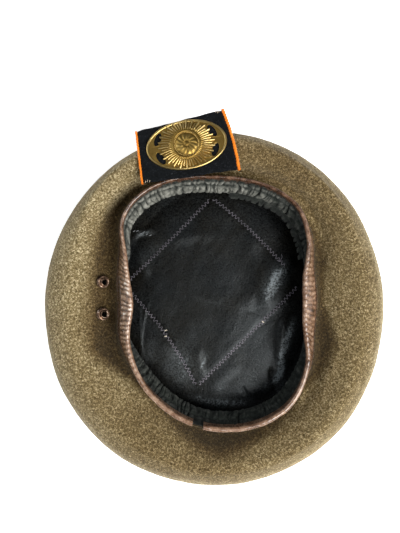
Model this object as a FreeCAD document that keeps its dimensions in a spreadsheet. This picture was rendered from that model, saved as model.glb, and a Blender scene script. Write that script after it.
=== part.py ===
import FreeCAD, Part
import math
import os
import Sketcher

# A felt army beret lying upside-down on its crown, with the head opening facing up.
# Frame, in millimetres: the origin is the centre of the crown's flat resting face,
# +Z points up out of the head opening, and +Y points to the front, where the badge is.

Vector = FreeCAD.Vector

# ---------------------------------------------------------------- driving dimensions

DIMENSIONS = [
    # the wool felt shell
    ("crown_half_width", 140.7, "centre to rim, across the head"),
    ("crown_half_length", 146.3, "centre to rim, front to back"),
    ("crown_squareness", 0.6, "how far the rim fills out between its axes"),
    ("crown_shift_side", -0.8, "rim bulge towards the eyelet side"),
    ("crown_shift_front", 1.2, "rim bulge towards the front"),
    ("felt_thickness", 2.4, "milled wool felt"),
    ("felt_edge_thickness", 1.5, "felt pressed thin where the leather grips it"),
    ("rim_height", 13.0, "widest line of the rim above the crown's face"),
    ("ridge_height", 36.0, "brim ridge, middle of the felt"),
    ("valley_height", 22.0, "fold where the brim turns up into the band"),
    ("valley_offset", 9.0, "fold outside the leather's lower edge"),
    ("crest_height", 49.0, "felt edge at the top of the band"),
    ("leather_foot_height", 37.5, "lower edge of the leather outside"),
    ("front_rise", 9.5, "how far the stiffened front lifts the brim"),
    ("front_angle", 100.0, "middle of the stiffened front"),
    ("front_spread", 36.0, "how wide the stiffened front is, degrees"),
    # the head band
    ("band_centre_side", -1.0, "centre of the head opening"),
    ("band_centre_front", 9.0, "centre of the head opening"),
    ("side_lean", 9.5, "band leans inwards over the ears"),
    ("end_flare", 2.0, "band stands a little outwards at front and back"),
    ("leather_thickness", 0.8, "leather strip"),
    ("leather_inner_leg", 5.0, "leather folded down inside"),
    ("leather_gap_start", 259.5, "end of the leather at the back"),
    ("leather_gap_end", 264.6, "other end of the leather"),
    ("stitch_pitch", 5.0, "machine stitches along the leather"),
    ("stitch_length", 3.0, "one stitch"),
    ("stitch_diameter", 0.5, "sewing thread"),
    # lining and facing
    ("cloth_thickness", 0.6, "facing and lining cloth with its seam turnings"),
    ("sewing_gap", 0.15, "space between neighbouring layers"),
    ("facing_low_height", 29.0, "lower edge of the gathered facing"),
    ("facing_end_slope", 9.0, "facing hangs inwards at front and back"),
    ("facing_side_slope", 8.0, "facing goes outwards under the leaning sides"),
    ("lining_clearance", 3.6, "lining above the middle of the crown's felt"),
    ("pocket_clearance", 6.2, "lining inside the middle of the brim's felt"),
    ("frill_start", 26.0, "lower frill of the facing, from this angle"),
    ("frill_end", 82.0, "to this one"),
    ("patch_thickness", 0.5, "diamond reinforcement of the lining"),
    ("zigzag_width", 2.4, "zigzag seam, side to side"),
    ("zigzag_end_gap", 3.5, "the seams stop this far from the patch's corners"),
    ("thread_thickness", 0.35, "seams on the lining"),
    # vent eyelets
    ("eyelet_side", -91.6, "eyelet centres"),
    ("eyelet_front", 24.6, "front eyelet"),
    ("eyelet_rear", -1.5, "rear eyelet"),
    ("eyelet_flange_radius", 5.0, "rolled flange outside"),
    ("eyelet_bore_radius", 2.4, "air hole"),
    ("eyelet_barrel_radius", 3.0, "barrel through the felt"),
    ("eyelet_roll", 0.9, "half thickness of the rolled flange"),
    ("eyelet_length", 5.2, "flange underside to clenched end"),
    ("washer_radius", 4.8, "washer inside the felt"),
    ("washer_thickness", 0.5, "washer"),
    # badge group, in its own tilted plane
    ("badge_side", -22.5, "centre of the backing cloth"),
    ("badge_front", 129.0, "centre of the backing cloth"),
    ("badge_height", 48.5, "underside of the backing cloth at its centre"),
    ("badge_turn", 9.7, "turned in plan"),
    ("badge_slope", -6.0, "outer edge lower than the inner edge"),
    ("backing_thickness", 1.2, "folded black cloth"),
    ("stiffener_thickness", 1.0, "card inside the backing"),
    ("stiffener_share", 0.93, "the card is this much of the cloth's size"),
    ("plate_half_length", 31.4, "oval brass plate"),
    ("plate_half_width", 19.5, "oval brass plate"),
    ("plate_thickness", 1.0, "oval brass plate"),
    ("opening_half_length", 5.4, "openings in the plate"),
    ("opening_half_width", 2.5, "openings in the plate"),
    ("opening_side", 21.2, "opening centres from the badge centre"),
    ("opening_front", 7.6, "opening centres from the badge centre"),
    ("burst_radius", 18.6, "ends of the sunburst's rays"),
    ("burst_disc_radius", 12.5, "solid disc behind the rays"),
    ("burst_thickness", 1.4, "sunburst"),
    ("ray_half_width", 1.3, "one ray at its root"),
    ("dome_radius", 9.6, "plain domed centre"),
    ("dome_ring", 1.0, "raised ring round the dome"),
    ("dome_height", 2.4, "top of the dome above the sunburst"),
    ("badge_offset", 1.7, "badge centre ahead of the cloth's centre"),
    ("badge_gap", 0.05, "space between the badge's stacked pieces"),
    ("lug_half_spacing", 16.0, "lugs either side of the centre"),
    ("lug_thickness", 1.6, "lug along the pin"),
    ("lug_width", 4.6, "lug across the pin"),
    ("lug_depth", 15.4, "lug end below the backing cloth"),
    ("pin_depth", 12.9, "pin axis below the backing cloth"),
    ("pin_radius", 1.0, "split pin shank"),
    ("pin_half_length", 21.0, "split pin shank"),
    ("pin_ring_radius", 2.2, "split pin eye, centre line"),
    ("pin_bore_radius", 1.3, "holes in the lugs"),
    ("lug_slot_play", 0.6, "slots are this much larger than the lugs"),
    ("front_board_depth", 9.9, "inner stiffener below the backing cloth"),
    ("front_board_thickness", 1.2, "inner stiffener"),
    ("front_board_length", 52.0, "inner stiffener"),
    ("front_board_width", 12.5, "inner stiffener"),
    ("front_board_offset", -0.25, "inner stiffener's centre from the cloth's centre"),
    ("piping_radius", 0.9, "coloured cord edging"),
    ("tack_radius", 0.25, "tacks at two corners of the backing cloth"),
    ("tack_length", 1.6, "tacks at two corners of the backing cloth"),
]

# The top edge of the band, seen from above: angle in degrees and distance from the
# band's centre. The sides are drawn in and the front corners stand out.
CREST_OUTLINE = [(0, 70.0), (18, 74.0), (36, 89.5), (52, 99.0), (90, 97.5), (120, 102.0),
                 (137, 97.0), (153, 78.0), (180, 65.5), (205, 74.5), (235, 87.0),
                 (268, 97.5), (302, 99.6), (324, 88.0), (343, 73.5)]

# Corners of the backing cloth in its own plane, from the corner by the eyelet side.
BACKING_CORNERS = [(-37.9, -22.6), (35.9, -24.2), (31.7, 24.6), (-36.3, 18.9)]

# Corners of the diamond patch on the lining: front, right, back, left.
PATCH_CORNERS = [(-3.0, 95.0), (71.0, 21.0), (-15.5, -64.0), (-77.0, 21.0)]

# A short hand-sewn seam on the lining, beside the patch.
TACK_ENDS = [(-69.0, 66.5), (-53.0, 63.0)]

# Points on each loop round the beret.
LOOP_POINTS = 48

# Which of the felt's stations is the fold under the brim, the leather's foot and the edge.
FOLD_STATION = 8
FOOT_STATION = 10
EDGE_STATION = 12

# Evenly spaced rays of the badge's sunburst.
RAY_COUNT = 32

doc = FreeCAD.newDocument("beret")
sheet = doc.addObject("Spreadsheet::Sheet", "sizes")
for row, (alias, value, meaning) in enumerate(DIMENSIONS, start=1):
    sheet.set("A%d" % row, alias)
    sheet.set("B%d" % row, str(value))
    sheet.setAlias("B%d" % row, alias)
    sheet.set("C%d" % row, meaning)
doc.recompute()


def size(alias):
    """A driving dimension, read back from the sheet."""
    return float(sheet.get(alias))


felt = size("felt_thickness")
cloth = size("cloth_thickness")
gap = size("sewing_gap")

# ---------------------------------------------------------------- outlines by angle


def rim_radius(angle):
    """Widest outline of the crown: an oval that is a little square and lopsided."""
    turn = math.radians(angle)
    middle = 0.5 * (size("crown_half_length") + size("crown_half_width"))
    stretch = 0.5 * (size("crown_half_length") - size("crown_half_width"))
    radius = middle - stretch * math.cos(2 * turn)
    radius -= size("crown_squareness") * math.cos(4 * turn)
    radius += size("crown_shift_side") * math.cos(turn)
    return radius + size("crown_shift_front") * math.sin(turn)


def crest_radius(angle):
    """Smooth closed curve through CREST_OUTLINE, with slopes taken from the neighbours."""
    angle %= 360
    count = len(CREST_OUTLINE)
    before = max(i for i in range(count) if CREST_OUTLINE[i][0] <= angle)
    knots = []
    for step in (-1, 0, 1, 2):
        index = before + step
        at, radius = CREST_OUTLINE[index % count]
        knots.append((at + 360 * (index // count), radius))
    (a0, r0), (a1, r1), (a2, r2), (a3, r3) = knots
    span = a2 - a1
    slope_in = (r2 - r0) / (a2 - a0) * span
    slope_out = (r3 - r1) / (a3 - a1) * span
    part = (angle - a1) / span
    hold_1 = 2 * part ** 3 - 3 * part ** 2 + 1
    hold_2 = -2 * part ** 3 + 3 * part ** 2
    pull_1 = part ** 3 - 2 * part ** 2 + part
    pull_2 = part ** 3 - part ** 2
    return hold_1 * r1 + hold_2 * r2 + pull_1 * slope_in + pull_2 * slope_out


def sideways(angle, power):
    """1 over the ears, 0 at front and back; a higher power keeps it nearer the ears."""
    return math.cos(math.radians(angle)) ** power


def front_share(angle):
    """1 in the middle of the stiffened front, fading to 0 on both sides of it."""
    away = (angle - size("front_angle") + 180) % 360 - 180
    return math.exp(-(away / size("front_spread")) ** 4)


def foot_radius(angle):
    """Lower edge of the leather outside."""
    side = sideways(angle, 4)
    return crest_radius(angle) + side * size("side_lean") - (1 - side) * size("end_flare")


def facing_low_radius(angle):
    """Lower edge of the gathered facing."""
    side = sideways(angle, 6)
    shift = side * size("facing_side_slope") - (1 - side) * size("facing_end_slope")
    return crest_radius(angle) + shift


def shell_stations(angle, front):
    """The felt's middle line from crown to band edge, as (centre share, radius, height)."""
    rim = rim_radius(angle)
    crest = crest_radius(angle)
    foot = foot_radius(angle)
    valley = foot + size("valley_offset")
    rise = front * size("front_rise")
    ridge = size("ridge_height")
    rim_z = size("rim_height")
    low = size("valley_height")
    top = size("crest_height") - 1.5 * front
    foot_z = size("leather_foot_height")
    crown = [
        (0.0, rim - 21, felt / 2),  # the crown's flat resting face ends here
        (0.0, rim - 12, felt / 2 + 1.0),
        (0.0, rim - 4.6, 0.48 * rim_z),
        (0.0, rim - felt / 2, rim_z + 0.38 * rise),  # the rim, its widest line
        (0.1, rim - 3.8, rim_z + 8 + 0.8 * rise),
    ]
    brim = [
        (0.2, rim - 10, ridge - 5.0 + 1.3 * rise),
        (0.4, 0.64 * rim + 0.36 * valley, ridge + rise),  # the brim's ridge
        (0.7, 0.3 * rim + 0.7 * valley, 0.55 * ridge + 0.45 * low + 1.5 * rise),
        (1.0, valley, low + 1.14 * rise),  # the fold between brim and band
    ]
    band = [
        (1.0, foot + 2, low + 4 + 0.76 * rise),
        (1.0, foot, foot_z),
        (1.0, 0.5 * (foot + crest), 0.45 * foot_z + 0.55 * top),
        (1.0, crest, top),
    ]
    return crown + brim + band


def felt_half(index):
    """Half the felt's thickness at a station: it thins from the brim's fold to its edge."""
    share = max(0.0, (index - FOLD_STATION) / (EDGE_STATION - FOLD_STATION))
    return 0.5 * (felt * (1 - share) + size("felt_edge_thickness") * share)


def offset_line(stations, distances):
    """Shift a middle line outwards, square to its direction, by one distance or by many."""
    if isinstance(distances, float):
        distances = [distances] * len(stations)
    shifted = []
    last = len(stations) - 1
    for i, (share, radius, height) in enumerate(stations):
        behind = stations[max(i - 1, 0)]
        ahead = stations[min(i + 1, last)]
        along_r = ahead[1] - behind[1]
        along_z = ahead[2] - behind[2]
        if i == 0 and share == 0.0:
            along_z = 0.0
        length = math.hypot(along_r, along_z)
        out_r = along_z / length * distances[i]
        out_z = -along_r / length * distances[i]
        shifted.append((share, radius + out_r, height + out_z))
    return shifted


def place(angle, station):
    """A station's point in space; its centre slides from the crown's to the band's."""
    share, radius, height = station
    turn = math.radians(angle)
    middle_x = share * size("band_centre_side")
    middle_y = share * size("band_centre_front")
    return Vector(middle_x + radius * math.cos(turn),
                  middle_y + radius * math.sin(turn), height)


LOOP_ANGLES = [360.0 * i / LOOP_POINTS for i in range(LOOP_POINTS)]


def loop_wire(lines, index):
    """One closed smooth loop round the beret through station number index."""
    points = [place(angle, line[index]) for angle, line in zip(LOOP_ANGLES, lines)]
    curve = Part.BSplineCurve()
    curve.interpolate(Points=points, PeriodicFlag=True)
    return Part.Wire([curve.toShape()])


def loft_lines(lines):
    """A capped solid through the loops that the given section lines share."""
    wires = [loop_wire(lines, i) for i in range(len(lines[0]))]
    return Part.makeLoft(wires, True, True)


def skin_section(middle, halves):
    """Out along one side of a middle line and back along the other, given half thicknesses."""
    if isinstance(halves, float):
        halves = [halves] * len(middle)
    outer = offset_line(middle, halves)
    inner = offset_line(middle, [-half for half in halves])
    return outer + inner[::-1]


def ring_solid(middle_of, thickness):
    """A ring of cloth round the whole opening: its section runs along a middle line."""
    lines = [skin_section(middle_of(angle), thickness / 2) for angle in LOOP_ANGLES]
    wires = [loop_wire(lines, i) for i in range(len(lines[0]))]
    faces = []
    for i, wire in enumerate(wires):
        following = wires[(i + 1) % len(wires)]
        faces.append(Part.makeRuledSurface(wire.Edges[0], following.Edges[0]))
    shell = Part.makeShell(faces)
    return Part.makeSolid(shell)


def strip_solid(section_of, angles):
    """A strip that runs part of the way round: a closed section at each angle."""
    wires = []
    for angle in angles:
        points = [place(angle, station) for station in section_of(angle)]
        wires.append(Part.makePolygon(points + points[:1]))
    return Part.makeLoft(wires, True, False)


def spread(start, end, count):
    return [start + (end - start) * i / (count - 1) for i in range(count)]


def feature(name, shape):
    """A finished shape as an object of the document, labelled with its node's name."""
    item = doc.addObject("Part::Feature", name)
    item.Shape = shape
    item.Label = name
    return item


def bind(item, **expressions):
    for prop, expression in expressions.items():
        item.setExpression(prop, expression)


# ---------------------------------------------------------------- the badge's plane

badge_frame = FreeCAD.Placement(
    Vector(size("badge_side"), size("badge_front"), size("badge_height")),
    FreeCAD.Rotation(Vector(0, 0, 1), size("badge_turn"))
    * FreeCAD.Rotation(Vector(1, 0, 0), size("badge_slope")))


def on_badge(x, y, z, axis=Vector(0, 0, 1), angle=0.0):
    """A placement given in the badge's own plane."""
    return badge_frame * FreeCAD.Placement(Vector(x, y, z), FreeCAD.Rotation(axis, angle))


def lug_slot(side, low, high):
    """The hole that a lug needs, between two levels of the badge's plane."""
    long = size("lug_thickness") + size("lug_slot_play")
    wide = size("lug_width") + size("lug_slot_play")
    box = Part.makeBox(long, wide, high - low)
    corner_x = side * size("lug_half_spacing") - long / 2
    corner_y = size("badge_offset") - wide / 2
    box.Placement = on_badge(corner_x, corner_y, low)
    return box


def cut_lug_slots(shape, low, high):
    for side in (-1, 1):
        shape = shape.cut(lug_slot(side, low, high))
    return shape


# ---------------------------------------------------------------- felt and lining


def make_felt_shell():
    lines = []
    for angle in LOOP_ANGLES:
        middle = shell_stations(angle, front_share(angle))
        halves = [felt_half(i) for i in range(len(middle))]
        lines.append(skin_section(middle, halves))
    return loft_lines(lines)


def felt_height(x, y, side):
    """Height of the brim's felt above a place: side 1 is its top, -1 its underside."""
    probe = Part.makeLine(Vector(x, y, size("valley_height") - 6), Vector(x, y, 70))
    span = probe.common(felt_shell).BoundBox
    return span.ZMax if side > 0 else span.ZMin


def on_brim(y, side, reach):
    """A placement square to the felt at an eyelet, clear of it over a disc of radius reach."""
    x = size("eyelet_side")
    middle = felt_height(x, y, side)
    slope_x = (felt_height(x + reach, y, side) - felt_height(x - reach, y, side)) / (2 * reach)
    slope_y = (felt_height(x, y + reach, side) - felt_height(x, y - reach, side)) / (2 * reach)
    proud = 0.0
    for turn in range(0, 360, 45):
        step_x = reach * math.cos(math.radians(turn))
        step_y = reach * math.sin(math.radians(turn))
        plane = middle + slope_x * step_x + slope_y * step_y
        proud = max(proud, side * (felt_height(x + step_x, y + step_y, side) - plane))
    normal = Vector(-slope_x, -slope_y, 1)
    turned = FreeCAD.Rotation(Vector(0, 0, 1), normal)
    return FreeCAD.Placement(Vector(x, y, middle + side * (proud + gap)), turned)


def make_felt_body():
    """The felted shell with its two vent holes and two slots for the badge's lugs."""
    shape = felt_shell
    hole_radius = size("eyelet_barrel_radius") + gap
    for y in (size("eyelet_front"), size("eyelet_rear")):
        hole = Part.makeCylinder(hole_radius, 20, Vector(0, 0, -10))
        hole.Placement = on_brim(y, 1, size("eyelet_flange_radius"))
        shape = shape.cut(hole)
    shape = cut_lug_slots(shape, -size("lug_depth"), 0)
    return feature("felt_body", shape)


def lining_line(angle):
    """The lining bag's middle line: inside the felt, without the raised front."""
    shell = shell_stations(angle, 0.0)
    over_crown = offset_line(shell, -size("lining_clearance"))[:2]
    return over_crown + offset_line(shell, -size("pocket_clearance"))[2:9]


def make_lining_crown():
    """The round tip of the lining, turned up a little at its edge."""
    lines = []
    for angle in LOOP_ANGLES:
        flat, bend, turned_up = lining_line(angle)[:3]
        edge = (0.0, turned_up[1] - 1.2, turned_up[2] - 1.2)
        lines.append(skin_section([flat, bend, edge], cloth / 2))
    return feature("lining_crown", loft_lines(lines))


def side_line(angle):
    """Lining side: from the tip's edge, round the rim pocket and up to the facing."""
    bag = lining_line(angle)
    low = facing_low_radius(angle)
    behind = (1.0, low + 8, size("valley_height") - size("pocket_clearance"))
    seam = (1.0, low + 2.2, size("facing_low_height") - 4.0)
    top = (1.0, low + 1.7, size("facing_low_height") - 0.8)
    return bag[2:8] + [behind, seam, top]


def make_lining_side():
    return feature("lining_side", ring_solid(side_line, cloth))


def wall_line(angle, side, away):
    """A line beside the band's wall, from the leather's foot to the crest.

    side is 1 outside and -1 inside; away is the distance from the felt's surface.
    """
    shell = shell_stations(angle, front_share(angle))
    distances = [side * (felt_half(i) + away) for i in range(len(shell))]
    return offset_line(shell, distances)[FOOT_STATION:]


def facing_line(angle):
    """Facing: sewn in along the band's edge, hanging down to its gathered lower edge."""
    wall = wall_line(angle, -1, gap + cloth / 2)
    low = (1.0, facing_low_radius(angle), size("facing_low_height"))
    share, middle_r, middle_z = wall[1]
    halfway = (1.0, 0.5 * (middle_r + low[1]), 0.5 * (middle_z + low[2]))
    return [low, halfway, wall[1], wall[2]]


def make_facing():
    return feature("sweatband_facing", ring_solid(facing_line, cloth))


def frill_section(angle):
    """A narrow second row that hangs inside the facing's lower edge."""
    low = facing_low_radius(angle)
    high_z = size("facing_low_height") + 3.0
    low_z = size("facing_low_height") - 4.5
    hang = low - 1.0
    return [(1.0, hang, high_z), (1.0, hang - cloth, high_z),
            (1.0, hang - cloth - 1.2, low_z), (1.0, hang - 1.2, low_z)]


def make_frill():
    angles = spread(size("frill_start"), size("frill_end"), 15)
    return feature("facing_lower_frill", strip_solid(frill_section, angles))


# ---------------------------------------------------------------- leather binding


def leather_middle(angle):
    """Leather from its outer foot over the felt's edge and down the inside."""
    thick = size("leather_thickness")
    outer = wall_line(angle, 1, gap + thick / 2)
    inner = wall_line(angle, -1, gap + cloth + 2 * gap + thick / 2)
    wall = shell_stations(angle, front_share(angle))[FOOT_STATION:]
    run_r = wall[2][1] - wall[1][1]
    run_z = wall[2][2] - wall[1][2]
    length = math.hypot(run_r, run_z)
    step = (thick / 2 + gap + 0.7) / length
    cap = (1.0, 0.5 * (outer[2][1] + inner[2][1]) + step * run_r,
           0.5 * (outer[2][2] + inner[2][2]) + step * run_z)
    down = size("leather_inner_leg") / length
    end = (1.0, inner[2][1] - down * run_r, inner[2][2] - down * run_z)
    return outer + [cap, inner[2], end]


def leather_section(angle):
    return skin_section(leather_middle(angle), size("leather_thickness") / 2)


def make_leather():
    """One strip all round, open for a few millimetres at the back."""
    first = size("leather_gap_end")
    last = size("leather_gap_start") + 360
    angles = spread(first, last, 91)
    return feature("leather_binding", strip_solid(leather_section, angles))


def make_binding_thread():
    """Short stitches along the leather's outer foot."""
    away = gap + size("leather_thickness") + 0.35
    first = size("leather_gap_end") + 1.5
    last = size("leather_gap_start") + 360 - 1.5
    foot_loop = [place(angle, wall_line(angle, 1, away)[0]) for angle in LOOP_ANGLES]
    around = Part.makePolygon(foot_loop + foot_loop[:1]).Length
    count = int(around * (last - first) / 360 / size("stitch_pitch"))
    stitches = []
    for angle in spread(first, last, count):
        foot, middle = [place(angle, s) for s in wall_line(angle, 1, away)[:2]]
        ahead = place(angle + 0.5, wall_line(angle + 0.5, 1, away)[0])
        along = (ahead - foot).normalize()
        centre = foot + (middle - foot) * 0.18
        start = centre - along * (size("stitch_length") / 2)
        stitches.append(Part.makeCylinder(size("stitch_diameter") / 2,
                                          size("stitch_length"), start, along))
    return feature("binding_seam_thread", Part.makeCompound(stitches))


# ---------------------------------------------------------------- patch on the lining


def plan_prism(corners, low, high):
    points = [Vector(x, y, low) for x, y in corners]
    face = Part.Face(Part.makePolygon(points + points[:1]))
    return face.extrude(Vector(0, 0, high - low))


def seam_strip(start, end, low, thickness):
    """A straight seam as a thin strip lying on the cloth."""
    ax, ay = start
    bx, by = end
    length = math.hypot(bx - ax, by - ay)
    side_x = -(by - ay) / length * size("zigzag_width") / 2
    side_y = (bx - ax) / length * size("zigzag_width") / 2
    corners = [(ax + side_x, ay + side_y), (bx + side_x, by + side_y),
               (bx - side_x, by - side_y), (ax - side_x, ay - side_y)]
    return plan_prism(corners, low, low + thickness)


def shorten(start, end, amount):
    """The two ends of a seam, each drawn in by amount."""
    length = math.hypot(end[0] - start[0], end[1] - start[1])
    step_x = (end[0] - start[0]) / length * amount
    step_y = (end[1] - start[1]) / length * amount
    return (start[0] + step_x, start[1] + step_y), (end[0] - step_x, end[1] - step_y)


def make_patch_and_threads():
    lining_top = felt / 2 + size("lining_clearance") + cloth / 2
    patch_low = lining_top + gap
    patch_high = patch_low + size("patch_thickness")
    feature("crown_patch", plan_prism(PATCH_CORNERS, patch_low, patch_high))
    thick = size("thread_thickness")
    seams = []
    for i in range(4):
        following = PATCH_CORNERS[(i + 1) % 4]
        start, end = shorten(PATCH_CORNERS[i], following, size("zigzag_end_gap"))
        seams.append(seam_strip(start, end, patch_high + gap / 2, thick))
    feature("patch_zigzag_thread", Part.makeCompound(seams))
    feature("lining_tack_thread", seam_strip(*TACK_ENDS, lining_top + gap / 2, thick))


# ---------------------------------------------------------------- Sketcher helpers


def origin_plane(body, role):
    return next(item for item in body.Origin.OriginFeatures if item.Role == role)


def new_body(name):
    body = doc.addObject("PartDesign::Body", name)
    body.Label = name
    return body


def sketch_on(body, role, name):
    sketch = body.newObject("Sketcher::SketchObject", name)
    sketch.AttachmentSupport = (origin_plane(body, role), [""])
    sketch.MapMode = "FlatFace"
    return sketch


def distance_to_origin(sketch, kind, geometry, vertex, expression):
    """Bind a point's horizontal or vertical distance from the sketch's origin."""
    value = 1.0
    index = sketch.addConstraint(Sketcher.Constraint(kind, -1, 1, geometry, vertex, value))
    sketch.setExpression("Constraints[%d]" % index, expression)


def closed_polygon(sketch, corners):
    """A polygon whose corners are each bound to the sheet: (x expression, y expression)."""
    count = len(corners)
    guess = [(1.0 + 3 * math.cos(6.28 * i / count), 1.0 + 3 * math.sin(6.28 * i / count))
             for i in range(count)]
    for i in range(count):
        ax, ay = guess[i]
        bx, by = guess[(i + 1) % count]
        sketch.addGeometry(Part.LineSegment(Vector(ax, ay, 0), Vector(bx, by, 0)), False)
    for i in range(count):
        sketch.addConstraint(Sketcher.Constraint("Coincident", i, 2, (i + 1) % count, 1))
    for i, (x, y) in enumerate(corners):
        distance_to_origin(sketch, "DistanceX", i, 1, x)
        distance_to_origin(sketch, "DistanceY", i, 1, y)


def revolved_body(name, corners):
    """A turned piece: a polygon in the XZ plane, turned about Z."""
    body = new_body(name)
    sketch = sketch_on(body, "XZ_Plane", name + "_section")
    closed_polygon(sketch, corners)
    turned = body.newObject("PartDesign::Revolution", name + "_turned")
    turned.Profile = sketch
    turned.ReferenceAxis = (sketch, ["V_Axis"])
    turned.Angle = 360
    return body


def padded_body(name, corners, length):
    """A flat piece: a polygon in the XY plane, padded upwards."""
    body = new_body(name)
    sketch = sketch_on(body, "XY_Plane", name + "_outline")
    closed_polygon(sketch, corners)
    pad = body.newObject("PartDesign::Pad", name + "_pad")
    pad.Profile = sketch
    pad.setExpression("Length", length)
    return body


# ---------------------------------------------------------------- vent eyelets


def make_eyelet(name, y):
    """A rolled flange on the felt with a barrel that goes down through it."""
    bore = "sizes.eyelet_bore_radius"
    barrel = "sizes.eyelet_barrel_radius"
    flange = "sizes.eyelet_flange_radius"
    roll = "sizes.eyelet_roll"
    body = revolved_body(name, [
        (bore, "-sizes.eyelet_length"),
        (barrel, "-sizes.eyelet_length"),
        (barrel, "0"),
        (flange, "0"),
        (flange, roll),
        (flange + " - " + roll, "1.6 * " + roll),
        (barrel, "1.6 * " + roll),
        (bore, roll),
    ])
    body.Placement = on_brim(y, 1, size("eyelet_flange_radius"))
    return body


def make_washer(name, y):
    """A flat ring inside the felt, round the eyelet's barrel."""
    inner = "sizes.eyelet_barrel_radius + sizes.sewing_gap / 2"
    body = revolved_body(name, [
        (inner, "-sizes.washer_thickness"),
        ("sizes.washer_radius", "-sizes.washer_thickness"),
        ("sizes.washer_radius", "0"),
        (inner, "0"),
    ])
    eyelet = on_brim(y, 1, size("eyelet_flange_radius"))
    drop = felt + 3.5 * gap
    body.Placement = eyelet * FreeCAD.Placement(Vector(0, 0, -drop), FreeCAD.Rotation())
    return body


def make_eyelets():
    for place_name in ("front", "rear"):
        y = size("eyelet_" + place_name)
        make_eyelet("vent_eyelet_" + place_name, y)
        make_washer("eyelet_washer_" + place_name, y)


# ---------------------------------------------------------------- badge and its backing


def make_backing():
    """Black cloth over a card stiffener, with a slot for each lug."""
    thick = size("backing_thickness")
    outline = plan_prism(BACKING_CORNERS, 0, thick)
    outline.Placement = badge_frame
    feature("badge_backing_cloth", cut_lug_slots(outline, 0, thick))
    card_low = -gap - size("stiffener_thickness")
    share = size("stiffener_share")
    corners = [(x * share, y * share) for x, y in BACKING_CORNERS]
    card = plan_prism(corners, card_low, -gap)
    card.Placement = badge_frame
    feature("backing_stiffener", cut_lug_slots(card, card_low, -gap))


def make_piping(name, low_corner, high_corner, outwards):
    """A round cord along one short edge of the backing cloth."""
    ax, ay = low_corner
    bx, by = high_corner
    length = math.hypot(bx - ax, by - ay)
    cord = doc.addObject("Part::Cylinder", name)
    cord.Label = name
    bind(cord, Radius="sizes.piping_radius")
    cord.Height = length
    out = outwards * (size("piping_radius") + gap)
    turn = FreeCAD.Rotation(Vector(0, 0, 1), Vector(bx - ax, by - ay, 0))
    start = Vector(ax + out, ay, size("backing_thickness") / 2)
    cord.Placement = badge_frame * FreeCAD.Placement(start, turn)
    return cord


def make_backing_thread():
    """Three small tacks at each of two corners of the backing cloth."""
    radius = size("tack_radius")
    length = size("tack_length")
    level = size("backing_thickness") + gap / 2 + radius
    tacks = []
    for corner, inwards in ((BACKING_CORNERS[0], 1), (BACKING_CORNERS[2], -1)):
        for step in range(3):
            x = corner[0] + inwards * length * (step + 1.25)
            y = corner[1] + inwards * length
            stitch = Part.makeCylinder(radius, length, Vector(0, -length / 2, 0), Vector(0, 1, 0))
            stitch.Placement = on_badge(x, y, level)
            tacks.append(stitch)
    feature("backing_tack_thread", Part.makeCompound(tacks))


def oval_plate(name, half_length, half_width, thickness):
    """An extruded oval, as a pair of document objects."""
    outline = doc.addObject("Part::Ellipse", name + "_outline")
    bind(outline, MajorRadius=half_length, MinorRadius=half_width)
    plate = doc.addObject("Part::Extrusion", name)
    plate.Base = outline
    plate.Dir = Vector(0, 0, 1)
    plate.DirMode = "Custom"
    plate.Solid = True
    bind(plate, LengthFwd=thickness)
    return plate


def make_badge_plate(level):
    """Oval brass plate with an opening in each quarter."""
    plate = oval_plate("badge_plate_blank", "sizes.plate_half_length",
                       "sizes.plate_half_width", "sizes.plate_thickness")
    openings = []
    for x_side in (-1, 1):
        for y_side in (-1, 1):
            opening = oval_plate("plate_opening", "sizes.opening_half_length",
                                 "sizes.opening_half_width", "sizes.plate_thickness")
            opening.Placement = FreeCAD.Placement(
                Vector(x_side * size("opening_side"), y_side * size("opening_front"), 0),
                FreeCAD.Rotation(Vector(0, 0, 1), -x_side * y_side * 62))
            openings.append(opening)
    group = doc.addObject("Part::MultiFuse", "plate_openings")
    group.Shapes = openings
    cut = doc.addObject("Part::Cut", "badge_plate")
    cut.Base = plate
    cut.Tool = group
    cut.Label = "badge_plate"
    cut.Placement = on_badge(0, size("badge_offset"), level)
    return cut


def make_sunburst(level):
    """A disc with a ring of even, pointed rays."""
    body = new_body("badge_sunburst")
    disc = sketch_on(body, "XY_Plane", "burst_disc")
    circle = Part.Circle(Vector(0, 0, 0), Vector(0, 0, 1), 10)
    disc.addGeometry(circle, False)
    disc.addConstraint(Sketcher.Constraint("Coincident", 0, 3, -1, 1))
    radius = disc.addConstraint(Sketcher.Constraint("Radius", 0, 10))
    disc.setExpression("Constraints[%d]" % radius, "sizes.burst_disc_radius")
    pad = body.newObject("PartDesign::Pad", "burst_disc_pad")
    pad.Profile = disc
    pad.setExpression("Length", "sizes.burst_thickness")
    ray = sketch_on(body, "XY_Plane", "burst_ray")
    closed_polygon(ray, [
        ("sizes.burst_disc_radius - 1", "-sizes.ray_half_width"),
        ("sizes.burst_radius", "-0.15"),
        ("sizes.burst_radius", "0.15"),
        ("sizes.burst_disc_radius - 1", "sizes.ray_half_width"),
    ])
    ray_pad = body.newObject("PartDesign::Pad", "burst_ray_pad")
    ray_pad.Profile = ray
    ray_pad.setExpression("Length", "sizes.burst_thickness * 0.8")
    doc.recompute()
    rays = body.newObject("PartDesign::PolarPattern", "burst_rays")
    rays.Originals = [ray_pad]
    rays.Axis = (disc, ["N_Axis"])
    rays.Angle = 360
    rays.Occurrences = RAY_COUNT
    body.Tip = rays
    body.Placement = on_badge(0, size("badge_offset"), level)
    return body


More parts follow.
